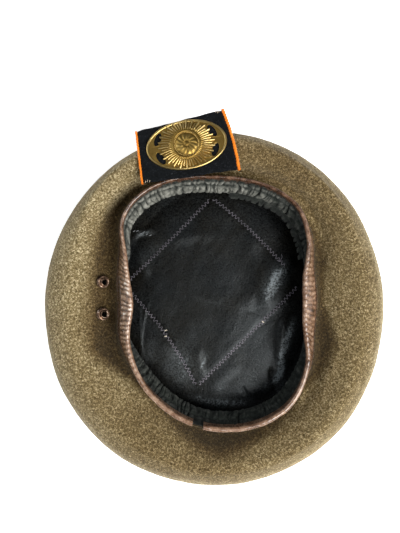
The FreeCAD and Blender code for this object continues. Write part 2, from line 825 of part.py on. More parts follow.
def make_badge_centre(level):
    """A plain shallow dome inside a raised ring."""
    body = new_body("badge_centre")
    sketch = sketch_on(body, "XZ_Plane", "centre_section")
    closed_polygon(sketch, [
        ("0", "0"),
        ("sizes.dome_radius", "0"),
        ("sizes.dome_radius", "sizes.dome_ring"),
        ("sizes.dome_radius - sizes.dome_ring", "1.4 * sizes.dome_ring"),
        ("sizes.dome_radius - 2 * sizes.dome_ring", "0.6 * sizes.dome_ring"),
        ("0.55 * sizes.dome_radius", "0.8 * sizes.dome_height"),
        ("0.25 * sizes.dome_radius", "0.96 * sizes.dome_height"),
        ("0", "sizes.dome_height"),
    ])
    turned = body.newObject("PartDesign::Revolution", "centre_turned")
    turned.Profile = sketch
    turned.ReferenceAxis = (sketch, ["V_Axis"])
    turned.Angle = 360
    body.Placement = on_badge(0, size("badge_offset"), level)
    return body


def make_lug(name, side, level):
    """A flat brass tongue under the plate with a hole for the split pin."""
    body = padded_body(name, [
        ("-sizes.lug_thickness / 2", "-sizes.lug_width / 2"),
        ("sizes.lug_thickness / 2", "-sizes.lug_width / 2"),
        ("sizes.lug_thickness / 2", "sizes.lug_width / 2"),
        ("-sizes.lug_thickness / 2", "sizes.lug_width / 2"),
    ], "sizes.lug_depth + sizes.backing_thickness")
    doc.recompute()
    solid_volume = body.Shape.Volume
    hole = sketch_on(body, "YZ_Plane", name + "_hole")
    hole.addGeometry(Part.Circle(Vector(0, 2.5, 0), Vector(0, 0, 1), 1.3), False)
    distance_to_origin(hole, "DistanceY", 0, 3, "sizes.lug_depth - sizes.pin_depth")
    hole.addConstraint(Sketcher.Constraint("PointOnObject", 0, 3, -2))
    radius = hole.addConstraint(Sketcher.Constraint("Radius", 0, 1.3))
    hole.setExpression("Constraints[%d]" % radius, "sizes.pin_bore_radius")
    pocket = body.newObject("PartDesign::Pocket", name + "_bore")
    pocket.Profile = hole
    pocket.Type = 1
    pocket.Midplane = True
    doc.recompute()
    if body.Shape.Volume >= solid_volume:
        raise RuntimeError(name + " has no bore")
    body.Placement = on_badge(side * size("lug_half_spacing"), size("badge_offset"),
                              level - size("lug_depth") - size("backing_thickness"))
    return body


def make_split_pin():
    """A straight brass shank with a round eye at one end."""
    shank = doc.addObject("Part::Cylinder", "pin_shank")
    bind(shank, Radius="sizes.pin_radius", Height="2 * sizes.pin_half_length")
    shank.Placement = FreeCAD.Placement(Vector(-size("pin_half_length"), 0, 0),
                                        FreeCAD.Rotation(Vector(0, 1, 0), 90))
    eye = doc.addObject("Part::Torus", "pin_eye")
    bind(eye, Radius1="sizes.pin_ring_radius", Radius2="sizes.pin_radius * 0.8")
    eye_x = -size("pin_half_length") - size("pin_ring_radius")
    eye.Placement = FreeCAD.Placement(Vector(eye_x, 0, 0), FreeCAD.Rotation())
    pin = doc.addObject("Part::Fuse", "badge_split_pin")
    pin.Base = shank
    pin.Tool = eye
    pin.Label = "badge_split_pin"
    pin.Placement = on_badge(0, size("badge_offset"), -size("pin_depth"))
    return pin


def make_front_board():
    """The stiff board inside the front of the crown that keeps the badge upright."""
    top = -size("front_board_depth")
    low = top - size("front_board_thickness")
    half_x = size("front_board_length") / 2
    half_y = size("front_board_width") / 2
    centre_y = size("front_board_offset")
    corners = [(-half_x, centre_y - half_y), (half_x, centre_y - half_y),
               (half_x, centre_y + half_y), (-half_x, centre_y + half_y)]
    board = plan_prism(corners, low, top)
    board.Placement = badge_frame
    feature("front_stiffener", cut_lug_slots(board, low, top))


def make_badge():
    lug_level = size("backing_thickness")
    plate_level = lug_level + size("badge_gap")
    burst_level = plate_level + size("plate_thickness") + size("badge_gap")
    centre_level = burst_level + size("burst_thickness") + size("badge_gap")
    make_badge_plate(plate_level)
    make_sunburst(burst_level)
    make_badge_centre(centre_level)
    make_lug("badge_lug_left", -1, lug_level)
    make_lug("badge_lug_right", 1, lug_level)
    make_split_pin()


# ---------------------------------------------------------------- assembly and export

felt_shell = make_felt_shell()
make_felt_body()
make_lining_crown()
make_lining_side()
make_facing()
make_frill()
make_leather()
make_binding_thread()
make_patch_and_threads()
make_eyelets()
make_backing()
make_piping("piping_left", BACKING_CORNERS[0], BACKING_CORNERS[3], -1)
make_piping("piping_right", BACKING_CORNERS[1], BACKING_CORNERS[2], 1)
make_backing_thread()
make_front_board()
make_badge()
doc.recompute()

NODES = [
    "felt_body", "front_stiffener", "lining_crown", "lining_side", "crown_patch",
    "patch_zigzag_thread", "lining_tack_thread", "sweatband_facing",
    "facing_lower_frill", "leather_binding", "binding_seam_thread",
    "vent_eyelet_front", "vent_eyelet_rear", "eyelet_washer_front",
    "eyelet_washer_rear", "badge_backing_cloth", "backing_stiffener", "piping_left",
    "piping_right", "backing_tack_thread", "badge_plate", "badge_sunburst",
    "badge_centre", "badge_lug_left", "badge_lug_right", "badge_split_pin",
]

for item in doc.Objects:
    if "Invalid" in item.State or "Error" in item.State:
        raise RuntimeError("%s failed: %s" % (item.Label, item.State))

os.makedirs("parts", exist_ok=True)
for node in NODES:
    shape = doc.getObjectsByLabel(node)[0].Shape
    if shape.isNull() or not shape.isValid():
        raise RuntimeError(node + " has no valid shape")
    shape.exportStep("parts/" + node + ".step")
    print("%-22s %10.1f mm3  %d solid(s)" % (node, shape.Volume, len(shape.Solids)))
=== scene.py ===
"""Looks for a felt army beret that lies upside-down on its crown.

Every length here is in millimetres and every angle in degrees; the mesh helpers turn
lengths into the frame's metres. The outline functions repeat those of the part's source,
because this script reads nothing but the frame.
"""
import math

import bpy
import numpy as np
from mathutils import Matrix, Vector, noise


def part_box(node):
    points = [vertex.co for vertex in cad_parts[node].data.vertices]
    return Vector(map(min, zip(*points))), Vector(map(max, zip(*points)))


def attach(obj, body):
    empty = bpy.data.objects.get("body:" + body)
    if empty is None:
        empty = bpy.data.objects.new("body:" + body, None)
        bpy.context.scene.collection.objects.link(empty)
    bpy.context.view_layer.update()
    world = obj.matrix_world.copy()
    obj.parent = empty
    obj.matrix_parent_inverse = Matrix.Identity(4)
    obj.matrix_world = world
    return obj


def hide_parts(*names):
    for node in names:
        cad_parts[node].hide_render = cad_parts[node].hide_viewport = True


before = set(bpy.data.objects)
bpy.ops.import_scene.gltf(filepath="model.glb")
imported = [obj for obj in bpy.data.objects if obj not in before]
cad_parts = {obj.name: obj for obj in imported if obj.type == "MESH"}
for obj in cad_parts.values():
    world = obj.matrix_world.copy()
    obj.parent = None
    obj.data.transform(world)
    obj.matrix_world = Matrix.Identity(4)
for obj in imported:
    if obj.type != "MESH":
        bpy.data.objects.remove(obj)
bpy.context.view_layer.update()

MM = 0.001
BODY = "beret"

# ---------------------------------------------------------------- the part's dimensions

FELT = 2.4
FELT_EDGE = 1.5
CROWN_HALF_WIDTH = 140.7
CROWN_HALF_LENGTH = 146.3
CROWN_SQUARENESS = 0.6
CROWN_SHIFT = (-0.8, 1.2)
RIM_HEIGHT = 13.0
RIDGE_HEIGHT = 36.0
VALLEY_HEIGHT = 22.0
VALLEY_OFFSET = 9.0
CREST_HEIGHT = 49.0
FOOT_HEIGHT = 37.5
FRONT_RISE = 9.5
FRONT_ANGLE, FRONT_SPREAD = 100.0, 36.0
FLAT_ANGLE, FLAT_SPREAD = 92.0, 50.0
BAND_CENTRE = (-1.0, 9.0)
SIDE_LEAN = 9.5
END_FLARE = 2.0
GAP = 0.15
CLOTH = 0.6
LEATHER = 0.8
LEATHER_INNER_LEG = 5.0
LEATHER_ENDS = (264.6, 259.5 + 360.0)
RIB_PITCH = 3.9
STITCH_PITCH = 5.0
STITCH_LENGTH = 3.0
FACING_LOW = 29.0
FACING_END_SLOPE = 9.0
FACING_SIDE_SLOPE = 8.0
FRILL_ANGLES = (26.0, 82.0)
POCKET_CLEARANCE = 6.2
FOLD_STATION, FOOT_STATION, EDGE_STATION = 8, 10, 12
CREST_OUTLINE = [(0, 70.0), (18, 74.0), (36, 89.5), (52, 99.0), (90, 97.5), (120, 102.0),
                 (137, 97.0), (153, 78.0), (180, 65.5), (205, 74.5), (235, 87.0),
                 (268, 97.5), (302, 99.6), (324, 88.0), (343, 73.5)]
PATCH_CORNERS = np.array([(-3.0, 95.0), (71.0, 21.0), (-15.5, -64.0), (-77.0, 21.0)])
TACK_ENDS = [(-69.0, 66.5), (-53.0, 63.0)]
ZIGZAG_PITCH, ZIGZAG_REACH = 3.3, 1.7
EYELET_BORE = 2.4
BADGE_CENTRE = (-22.5, 129.0, 48.5)
BADGE_TURN = 9.7
BADGE_SLOPE = -6.0
BADGE_OFFSET = 1.7
BACKING_CORNERS = [(-37.9, -22.6), (35.9, -24.2), (31.7, 24.6), (-36.3, 18.9)]
BACKING = 1.2
BACKING_SIZE = (72, 45)
PLATE_HALF = (31.4, 19.5)
PLATE_LEVEL, PLATE_BEVEL = 1.25, 0.30
OPENING_HALF = (5.4, 2.5)
OPENING_PLACE, OPENING_TURN = (21.2, 7.6), 62.0
BURST_LEVEL = 2.3
BURST_RADIUS = 19.3
BURST_STRETCH = 1.16
FLUTES = 52
DOME_LEVEL = 3.75
BEADS, BEAD_RADIUS, BEAD_CIRCLE = 44, 0.48, 9.3
PIPING_RADIUS = 0.9

# ---------------------------------------------------------------- looks given by angle

# How the felt sinks beside the band, and the shade painted into its colour there: angle, width, and
# strength of the painted shade.
VALLEY_SHADE = [(0, 9, 0.80), (20, 14, 0.82), (45, 5, 0.5), (90, 4, 0.3), (120, 8, 0.6),
                (135, 13, 0.78), (150, 28, 0.80), (165, 28, 0.74), (180, 31, 0.74),
                (200, 31, 0.88), (212, 20, 0.85), (225, 9, 0.88), (245, 10, 0.75),
                (258, 22, 0.85), (272, 27, 0.92), (290, 17, 0.86), (315, 7, 0.90),
                (330, 16, 0.84), (342, 23, 0.86)]

# Painted light and shade in the wool's colour, by angle.
FELT_PAINTED_LIGHT = [(0, 0.69), (20, 0.64), (45, 0.53), (62, 0.42), (80, 0.56), (110, 0.80), (135, 0.95),
        (150, 0.98), (180, 0.86), (200, 0.76), (225, 0.68), (250, 0.53), (270, 0.55),
        (290, 0.65), (315, 0.68), (340, 0.68)]

# How much paler the rim is painted than the wool above it, by angle: a painted highlight, and painted
# shade where the value is negative.
RIM_PAINTED_LIGHT = [(0, 1.0), (70, 1.0), (100, 0.2), (125, -0.2), (155, -0.2), (185, 0.2),
            (215, 0.6), (260, 1.0)]

# Painted light and shade in the facing's colour, by angle.
FACING_PAINTED_LIGHT = [(0, 0.30), (45, 0.46), (65, 0.78), (85, 1.10), (130, 1.12), (160, 0.80),
               (195, 0.42), (225, 0.30), (270, 0.18), (320, 0.15)]


def by_angle(table, angle, column=1):
    """A value of a table whose first column is the angle, blended round the circle."""
    rows = np.array(table, float)
    values = [*rows[:, column], rows[0, column]]
    return np.interp(np.mod(angle, 360.0), [*rows[:, 0], rows[0, 0] + 360.0], values)


def full_circle(count, whole=360.0):
    """Evenly spaced angles once round; whole is the full turn in the unit wanted."""
    return np.arange(count) * whole / count


TURN = 2 * math.pi

# ---------------------------------------------------------------- outlines by angle


def smooth_step(value, low, high):
    part = np.clip((value - low) / (high - low), 0.0, 1.0)
    return part * part * (3 - 2 * part)


def hermite(part, span, start, end, start_slope, end_slope):
    """A curve between two values with given slopes; part runs from 0 to 1 over the span."""
    hold = 2 * part ** 3 - 3 * part ** 2 + 1
    leave = (part ** 3 - 2 * part ** 2 + part) * span
    arrive = (part ** 3 - part ** 2) * span
    return hold * start + (1 - hold) * end + leave * start_slope + arrive * end_slope


def rim_radius(angle):
    turn = np.radians(angle)
    middle = 0.5 * (CROWN_HALF_LENGTH + CROWN_HALF_WIDTH)
    stretch = 0.5 * (CROWN_HALF_LENGTH - CROWN_HALF_WIDTH)
    radius = middle - stretch * np.cos(2 * turn) - CROWN_SQUARENESS * np.cos(4 * turn)
    return radius + CROWN_SHIFT[0] * np.cos(turn) + CROWN_SHIFT[1] * np.sin(turn)


def crest_radius(angle):
    """Smooth closed curve through CREST_OUTLINE, with slopes taken from the neighbours."""
    at, radii = np.array(CREST_OUTLINE).T
    index = np.arange(-1, len(at) + 2)
    knots = at[index % len(at)] + 360.0 * (index // len(at))
    values = radii[index % len(at)]
    slopes = (values[2:] - values[:-2]) / (knots[2:] - knots[:-2])
    angle = np.mod(angle, 360.0)
    k = np.searchsorted(knots[1:-1], angle, side="right") - 1
    start, span = knots[1:-1][k], knots[2:][k] - knots[1:-1][k]
    return hermite((angle - start) / span, span, values[1:-1][k], values[2:][k],
                   slopes[k], slopes[k + 1])


def sideways(angle, power):
    """1 over the ears, 0 at front and back."""
    return np.cos(np.radians(angle)) ** power


def near_angle(angle, middle, spread):
    """1 at the middle angle, fading to 0 about one spread away from it."""
    away = np.mod(angle - middle + 180.0, 360.0) - 180.0
    return np.exp(-(away / spread) ** 4)


def front_share(angle):
    """1 in the middle of the stiffened front."""
    return near_angle(angle, FRONT_ANGLE, FRONT_SPREAD)


def slimness(angle):
    """1 where the binding is pulled flat, at the front behind the badge."""
    return near_angle(angle, FLAT_ANGLE, FLAT_SPREAD)


def foot_radius(angle):
    side = sideways(angle, 4)
    return crest_radius(angle) + side * SIDE_LEAN - (1 - side) * END_FLARE


def facing_low_radius(angle):
    side = sideways(angle, 6)
    return crest_radius(angle) + side * FACING_SIDE_SLOPE - (1 - side) * FACING_END_SLOPE


def station(angle, *values):
    """One row of a section: each value, a number or an array, at every angle."""
    return np.stack(np.broadcast_arrays(*values, angle)[:-1])


def shell_stations(angle, front):
    """The felt's middle line: (centre share, radius, height, half the thickness)."""
    rim, crest, foot = rim_radius(angle), crest_radius(angle), foot_radius(angle)
    valley = foot + VALLEY_OFFSET
    rise = front * FRONT_RISE
    top = CREST_HEIGHT - 1.5 * front
    mixed = 0.55 * RIDGE_HEIGHT + 0.45 * VALLEY_HEIGHT
    places = [
        (0.0, rim - 21, FELT / 2),
        (0.0, rim - 12, FELT / 2 + 1.0),
        (0.0, rim - 4.6, 0.48 * RIM_HEIGHT),
        (0.0, rim - FELT / 2, RIM_HEIGHT + 0.38 * rise),
        (0.1, rim - 3.8, RIM_HEIGHT + 8 + 0.8 * rise),
        (0.2, rim - 10, RIDGE_HEIGHT - 5.0 + 1.3 * rise),
        (0.4, 0.64 * rim + 0.36 * valley, RIDGE_HEIGHT + rise),
        (0.7, 0.3 * rim + 0.7 * valley, mixed + 1.5 * rise),
        (1.0, valley, VALLEY_HEIGHT + 1.14 * rise),
        (1.0, foot + 2, VALLEY_HEIGHT + 4 + 0.76 * rise),
        (1.0, foot, FOOT_HEIGHT),
        (1.0, 0.5 * (foot + crest), 0.45 * FOOT_HEIGHT + 0.55 * top),
        (1.0, crest, top),
    ]
    edge = FELT_EDGE * (1 - 0.42 * slimness(angle))
    rows = []
    for index, place in enumerate(places):
        share = max(0.0, (index - FOLD_STATION) / (EDGE_STATION - FOLD_STATION))
        rows.append(station(angle, *place, 0.5 * (FELT * (1 - share) + edge * share)))
    return np.array(rows)


def smooth_rows(rows, count, ends=(0, -1)):
    """Catmull-Rom through rows of stations; the spacing follows their mean distance."""
    steps = np.linalg.norm(np.diff(rows[:, 1:3], axis=0), axis=1).mean(axis=-1)
    knots = np.concatenate([[0.0], np.cumsum(steps)])
    where = np.linspace(knots[ends[0]], knots[ends[1]], count)
    slopes = np.gradient(rows, knots, axis=0)
    k = np.clip(np.searchsorted(knots, where, side="right") - 1, 0, len(knots) - 2)
    span = (knots[k + 1] - knots[k])[:, None, None]
    part = (where - knots[k])[:, None, None] / span
    return hermite(part, span, rows[k], rows[k + 1], slopes[k], slopes[k + 1])


def normals_of(line):
    """Unit normals of a middle line in its own radius-height plane, on the outer side."""
    along = np.gradient(line[:, 1:3], axis=0)
    along = along / np.maximum(np.linalg.norm(along, axis=1, keepdims=True), 1e-9)
    return np.stack([along[:, 1], -along[:, 0]], axis=1)


def shifted(line, distance):
    """A middle line (share, radius, height) shifted outwards; distance may be an array."""
    moved = line[:, :3].copy()
    moved[:, 1:] += normals_of(line) * distance
    return moved


def round_end(line, half, index, way):
    """A half circle round one end of a line; way is 1 at its last row, -1 at its first."""
    across = normals_of(line)[index]
    along = np.stack([-across[1], across[0]]) * way
    rows = []
    for turn in np.radians([60, 30, 0, -30, -60]) * way:
        row = line[index, :3].copy()
        row[1:] += half * (math.sin(turn) * across + math.cos(turn) * along)
        rows.append(row)
    return rows


def closed_section(line, half):
    """Rows once round a sheet: outer side, far end, inner side, near end."""
    return np.array([*shifted(line, half), *round_end(line, half, -1, 1),
                     *shifted(line, -half)[::-1], *round_end(line, half, 0, -1)])


def xyz(x, y, z):
    """Points from three coordinates, any of which may be a single number."""
    return np.stack(np.broadcast_arrays(x, y, z), axis=-1)


def in_space(rows, angle):
    """Rows of (share, radius, height) at each angle as points, shape (rows, angles, 3)."""
    turn = np.radians(angle)
    share, radius, height = rows[:, 0], rows[:, 1], rows[:, 2]
    return xyz(share * BAND_CENTRE[0] + radius * np.cos(turn),
               share * BAND_CENTRE[1] + radius * np.sin(turn), height)


def inwards(angle, rise=0.0):
    """Directions towards the band's middle at each angle, tilted upwards by rise."""
    turn = np.radians(angle)
    return xyz(-np.cos(turn), -np.sin(turn), rise)


def arc_length(points):
    """Distance along a row of points, from its first one."""
    steps = np.linalg.norm(np.diff(points, axis=0), axis=1)
    return np.concatenate([[0.0], np.cumsum(steps)])


# ---------------------------------------------------------------- mesh helpers


def noise_at(points, size, seed):
    """Smooth noise from -1 to 1 at each point, with lumps about that size."""
    flat = points.reshape(-1, 3) / size + np.array([seed, 2.3 * seed, -1.7 * seed])
    values = np.array([noise.noise(Vector(p)) for p in flat])
    return values.reshape(points.shape[:-1])


def noises(points, *layers):
    """A sum of noises, each given as (strength, size, seed)."""
    return sum(strength * noise_at(points, size, seed) for strength, size, seed in layers)


def noise_along(distance, size, seed):
    """Smooth noise from -1 to 1 along a line."""
    return noise_at(xyz(distance, 0.0, 0.0), size, seed)


def grid_normals(points, wrap_rows, wrap_cols):
    """Unit normals of a grid of points."""
    def slope(axis, wrap):
        if wrap:
            return np.roll(points, -1, axis) - np.roll(points, 1, axis)
        return np.gradient(points, axis=axis)
    across = np.cross(slope(1, wrap_cols), slope(0, wrap_rows))
    return across / np.maximum(np.linalg.norm(across, axis=-1, keepdims=True), 1e-9)


def add_object(name, data):
    thing = bpy.data.objects.new(name, data)
    bpy.context.scene.collection.objects.link(thing)
    return thing


def mesh_piece(name, verts, faces):
    """A smoothly shaded mesh object from points in mm."""
    mesh = bpy.data.meshes.new(name)
    mesh.from_pydata((np.asarray(verts) * MM).tolist(), [], faces)
    mesh.update()
    mesh.polygons.foreach_set("use_smooth", [True] * len(mesh.polygons))
    return add_object(name, mesh)


def grid_faces(rows, cols, wrap_rows, wrap_cols, start=0):
    row_count = rows if wrap_rows else rows - 1
    col_count = cols if wrap_cols else cols - 1
    i, j = np.meshgrid(np.arange(row_count), np.arange(col_count), indexing="ij")
    i2, j2 = (i + 1) % rows, (j + 1) % cols
    quads = np.stack([i * cols + j, i * cols + j2, i2 * cols + j2, i2 * cols + j], -1)
    return (quads.reshape(-1, 4) + start).tolist()


def grid_piece(name, points, wrap_rows=False, wrap_cols=True, caps=()):
    """A mesh object from a grid of points in mm, shape (rows, columns, 3).

    caps may hold "first" and "last" for end rows, "left" and "right" for end columns:
    each is closed with a fan of faces around its middle.
    """
    rows, cols = points.shape[:2]
    verts = points.reshape(-1, 3)
    faces = grid_faces(rows, cols, wrap_rows, wrap_cols)
    edges = {"first": list(range(cols)),
             "last": [(rows - 1) * cols + k for k in range(cols)][::-1],
             "left": [k * cols for k in range(rows)][::-1],
             "right": [k * cols + cols - 1 for k in range(rows)]}
    for cap in caps:
        loop = edges[cap]
        centre = len(verts)
        verts = np.concatenate([verts, verts[loop].mean(axis=0)[None]])
        wrapped = wrap_cols if cap in ("first", "last") else wrap_rows
        pairs = zip(loop, loop[1:] + loop[:1] if wrapped else loop[1:])
        faces += [(b, a, centre) for a, b in pairs]
    return mesh_piece(name, verts, faces)


def tube_points(path, radius, sides, squash=None):
    """Rings of points round a path; radius may vary along it and squash is a ring shape."""
    along = np.gradient(path, axis=0)
    along /= np.linalg.norm(along, axis=1, keepdims=True)
    side = np.zeros_like(path)
    guess = np.array([0.0, 0.0, 1.0]) if abs(along[0][2]) < 0.9 else np.array([1.0, 0.0, 0.0])
    for k, direction in enumerate(along):
        guess = guess - direction * np.dot(guess, direction)
        guess /= np.linalg.norm(guess)
        side[k] = guess
    other = np.cross(along, side)
    turn = full_circle(sides, TURN)
    reach = np.broadcast_to(radius, (len(path),))[:, None]
    if squash is not None:
        reach = reach * squash(arc_length(path)[:, None], turn[None, :])
    rings = (side[:, None, :] * (reach * np.cos(turn))[..., None]
             + other[:, None, :] * (reach * np.sin(turn))[..., None])
    return path[:, None, :] + rings


def ringed_piece(name, stacks):
    """One mesh of separate stacks of rings, each closed at both ends."""
    faces, start = [], 0
    for rings in stacks:
        rows, sides = rings.shape[:2]
        faces += grid_faces(rows, sides, False, True, start)
        faces.append([start + k for k in range(sides)][::-1])
        faces.append([start + (rows - 1) * sides + k for k in range(sides)])
        start += rows * sides
    return mesh_piece(name, np.concatenate([rings.reshape(-1, 3) for rings in stacks]), faces)


def tubes_piece(name, paths, radius, sides=8, squash=None):
    """One mesh of separate round threads or cords, closed at their ends."""
    return ringed_piece(name, [tube_points(np.array(path, float), radius, sides, squash)
                               for path in paths])


def set_wear_and_painted_light(piece, wear_and_painted_light):
    """Store each point's wear and painted light and shade, often set by how raised it is: 0 to 1, and
    0.5 in a cap's middle.
    """
    wear_and_painted_light = np.clip(np.ravel(wear_and_painted_light), 0.0, 1.0)
    values = np.full(len(piece.data.vertices), wear_and_painted_light[0] if len(wear_and_painted_light) == 1 else 0.5)
    values[:len(wear_and_painted_light)] = wear_and_painted_light
    attribute = piece.data.attributes.new("wear_and_painted_light", "FLOAT", "POINT")
    attribute.data.foreach_set("value", values)


def finish_piece(piece, material, replaces=(), wear_and_painted_light=None):
    """Give a piece its wear and painted light and shade, material and body, and the CAD nodes it
    stands for.
    """
    if wear_and_painted_light is not None:
        set_wear_and_painted_light(piece, wear_and_painted_light)
    piece.data.materials.append(material)
    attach(piece, BODY)
    if replaces:
        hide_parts(*replaces)


# ---------------------------------------------------------------- material helpers


class Nodes:
    """A material's node tree with short calls for the nodes used here."""

    def __init__(self, name):
        self.material = bpy.data.materials.new(name)
        self.material.use_nodes = True
        self.tree = self.material.node_tree
        self.tree.nodes.clear()
        self.shader = self.add("BsdfPrincipled")
        self.add("OutputMaterial", {"Surface": self.shader.outputs[0]})
        self.coords = self.add("TexCoord").outputs["Object"]

    def add(self, kind, inputs=(), **settings):
        """A new node with its settings, and its inputs set or linked."""
        node = self.tree.nodes.new("ShaderNode" + kind)
        for key, value in settings.items():
            setattr(node, key, value)
        for key, value in dict(inputs).items():
            self.feed(node.inputs[key], value)
        return node

    def feed(self, socket, value):
        """Link a socket to another one, or set its number or colour."""
        if isinstance(value, bpy.types.NodeSocket):
            self.tree.links.new(value, socket)
        elif socket.type == "RGBA":
            socket.default_value = (*value, 1.0)
        else:
            socket.default_value = value

    def stretch(self, scale, turn):
        inputs = {"Vector": self.coords, "Scale": scale, "Rotation": turn}
        return self.add("Mapping", inputs).outputs[0]

    def noise(self, size, detail=2.0, rough=0.5, distortion=0.0, coords=None):
        inputs = {"Vector": coords or self.coords, "Scale": 1 / (size * MM), "Detail": detail,
                  "Roughness": rough, "Distortion": distortion}
        return self.add("TexNoise", inputs).outputs["Fac"]

    def cells(self, size):
        inputs = {"Vector": self.coords, "Scale": 1 / (size * MM)}
        return self.add("TexVoronoi", inputs).outputs["Distance"]

    def axis(self, letter):
        return self.add("SeparateXYZ", {0: self.coords}).outputs[letter]

    # The attribute holds wear and painted light and shade.
    def wear_and_painted_light(self):
        return self.add("Attribute", attribute_name="wear_and_painted_light").outputs["Fac"]

    def ramp(self, value, *stops):
        """Colours by value; a stop is (value, colour), and a plain number is a grey."""
        node = self.add("ValToRGB", {"Fac": value})
        elements = node.color_ramp.elements
        elements.remove(elements[1])
        for k, (at, colour) in enumerate(stops):
            element = elements.new(at) if k else elements[0]
            element.position = at
            element.color = (*np.broadcast_to(colour, 3), 1.0)
        return node.outputs["Color"]

    def range(self, value, low, high, to_low, to_high):
        inputs = {"Value": value, "From Min": low, "From Max": high, "To Min": to_low,
                  "To Max": to_high}
        return self.add("MapRange", inputs).outputs["Result"]

    def math(self, operation, first, second):
        return self.add("Math", {0: first, 1: second}, operation=operation).outputs[0]

    def total(self, *terms):
        """A sum of values, each given as (value, weight)."""
        parts = [self.math("MULTIPLY", value, weight) for value, weight in terms]
        result = parts[0]
        for part in parts[1:]:
            result = self.math("ADD", result, part)
        return result

    def mix(self, blend, first, second):
        node = self.add("Mix", {"Factor": 1.0}, data_type="RGBA", blend_type=blend)
        colours = [socket for socket in node.inputs if socket.type == "RGBA"]
        self.feed(colours[0], first)
        self.feed(colours[1], second)
        return next(socket for socket in node.outputs if socket.type == "RGBA")

    def bump(self, height, strength, depth, before=None):
        """A bump of the given depth in mm, on top of the bump before it."""
        inputs = {"Height": height, "Strength": strength, "Distance": depth * MM}
        if before is not None:
            inputs["Normal"] = before
        return self.add("Bump", inputs).outputs["Normal"]

    def set(self, **values):
        for key, value in values.items():
            self.feed(self.shader.inputs[key.replace("_", " ")], value)
        return self.material


# ---------------------------------------------------------------- materials


def felt_material():
    """Milled wool: matted light and dark brown fibres, pressed flat, with a soft sheen."""
    n = Nodes("wool_felt")
    fleck = n.noise(1.5, 2.0, 0.6, 0.8)
    fibre = n.noise(0.55, 2.0, 0.6, 1.2)
    colour = n.ramp(n.total((fleck, 0.6), (fibre, 0.4)),
                    (0.36, (0.060, 0.040, 0.014)), (0.45, (0.185, 0.137, 0.058)),
                    (0.53, (0.325, 0.257, 0.130)), (0.62, (0.84, 0.74, 0.50)))
    shade = n.ramp(n.noise(16.0, 3.0, 0.55), (0.32, (0.86, 0.84, 0.80)), (0.66, 1.0))
    # The colour's painted light and shade, from the attribute: darkest where shade is painted beside
    # the band.
    tone = n.ramp(n.wear_and_painted_light(), (0.0, (0.03, 0.02, 0.01)), (0.25, (0.25, 0.195, 0.125)),
                  (0.5, (0.5, 0.445, 0.36)), (0.75, (0.75, 0.72, 0.67)), (1.0, 1.0))
    colour = n.mix("MULTIPLY", n.mix("MULTIPLY", colour, shade), tone)
    normal = n.bump(fibre, 0.7, 0.45, n.bump(fleck, 0.9, 0.9))
    return n.set(Base_Color=colour, Roughness=0.95, Specular_IOR_Level=0.15,
                 Sheen_Weight=0.2, Sheen_Roughness=0.6,
                 Sheen_Tint=(0.9, 0.82, 0.62), Normal=normal)


def leather_material():
    """Waxed brown strip, worn to a pinkish tan on its raised places, with painted shade in its
    creases and painted glints on its rib crests.
    """
    n = Nodes("leather")
    scuff = n.noise(1.3, 3.0, 0.65)
    wear_and_glints = n.total((n.wear_and_painted_light(), 0.62), (n.noise(7.0, 3.0, 0.6, 0.5), 0.5), (scuff, 0.28))
    colour = n.ramp(wear_and_glints, (0.36, (0.028, 0.012, 0.006)), (0.50, (0.095, 0.046, 0.025)),
                    (0.66, (0.215, 0.122, 0.074)), (0.84, (0.44, 0.30, 0.21)),
                    (0.96, (0.92, 0.86, 0.78)))
    normal = n.bump(scuff, 0.35, 0.22, n.bump(n.cells(0.75), 0.25, 0.12))
    return n.set(Base_Color=colour, Roughness=n.range(scuff, 0.3, 0.7, 0.20, 0.40),
                 Specular_IOR_Level=0.55, Coat_Weight=0.45, Coat_Roughness=0.2, Normal=normal)


def lining_material(name, tint=1.0):
    """Black satin-backed lining: slightly blue where it shines, brownish where it is dull, with
    painted pale streaks of sheen.
    """
    n = Nodes(name)
    mottle = n.noise(1.5, 3.0, 0.65)
    slant = n.stretch((1.0, 0.22, 1.0), (0, 0, math.radians(-32)))
    twill = n.noise(0.5, 1.0, 0.5, 0.0, slant)
    colour = n.ramp(n.noise(26.0, 3.0, 0.5),
                    (0.35, (0.0046 * tint, 0.0042 * tint, 0.0032 * tint)),
                    (0.65, (0.0058 * tint, 0.0064 * tint, 0.0066 * tint)))
    # Painted highlights of the sheen, from the attribute.
    painted_sheen = n.math("MULTIPLY", n.wear_and_painted_light(), n.range(mottle, 0.34, 0.62, 0.25, 1.45))
    painted_sheen = n.ramp(painted_sheen, (0.0, 0.0), (0.35, (0.028, 0.031, 0.032)),
                    (1.0, (0.23, 0.26, 0.275)))
    speckle = n.range(n.noise(1.0, 2.0, 0.6), 0.40, 0.66, 0.2, 3.2)
    colour = n.mix("ADD", n.mix("MULTIPLY", colour, speckle), painted_sheen)
    normal = n.bump(twill, 0.4, 0.12, n.bump(mottle, 0.65, 0.40))
    return n.set(Base_Color=colour, Roughness=n.range(mottle, 0.3, 0.7, 0.20, 0.40),
                 Specular_IOR_Level=0.19, Specular_Tint=(0.88, 0.96, 1.0), Normal=normal)


def facing_material():
    """Gathered cotton, dark green-grey, with painted light and shade along its folds and by side."""
    n = Nodes("facing")
    blotch = n.noise(4.0, 3.0, 0.6)
    weave = n.noise(0.6, 2.0, 0.6)
    colour = n.ramp(n.total((blotch, 0.6), (weave, 0.25), (n.wear_and_painted_light(), 0.42)),
                    (0.32, (0.004, 0.005, 0.004)), (0.47, (0.016, 0.020, 0.017)),
                    (0.60, (0.055, 0.059, 0.052)), (0.74, (0.155, 0.158, 0.138)),
                    (0.90, (0.33, 0.33, 0.295)))
    normal = n.bump(blotch, 0.3, 0.5, n.bump(weave, 0.4, 0.2))
    return n.set(Base_Color=colour, Roughness=0.6, Specular_IOR_Level=0.22,
                 Sheen_Weight=0.06, Sheen_Roughness=0.5, Normal=normal)


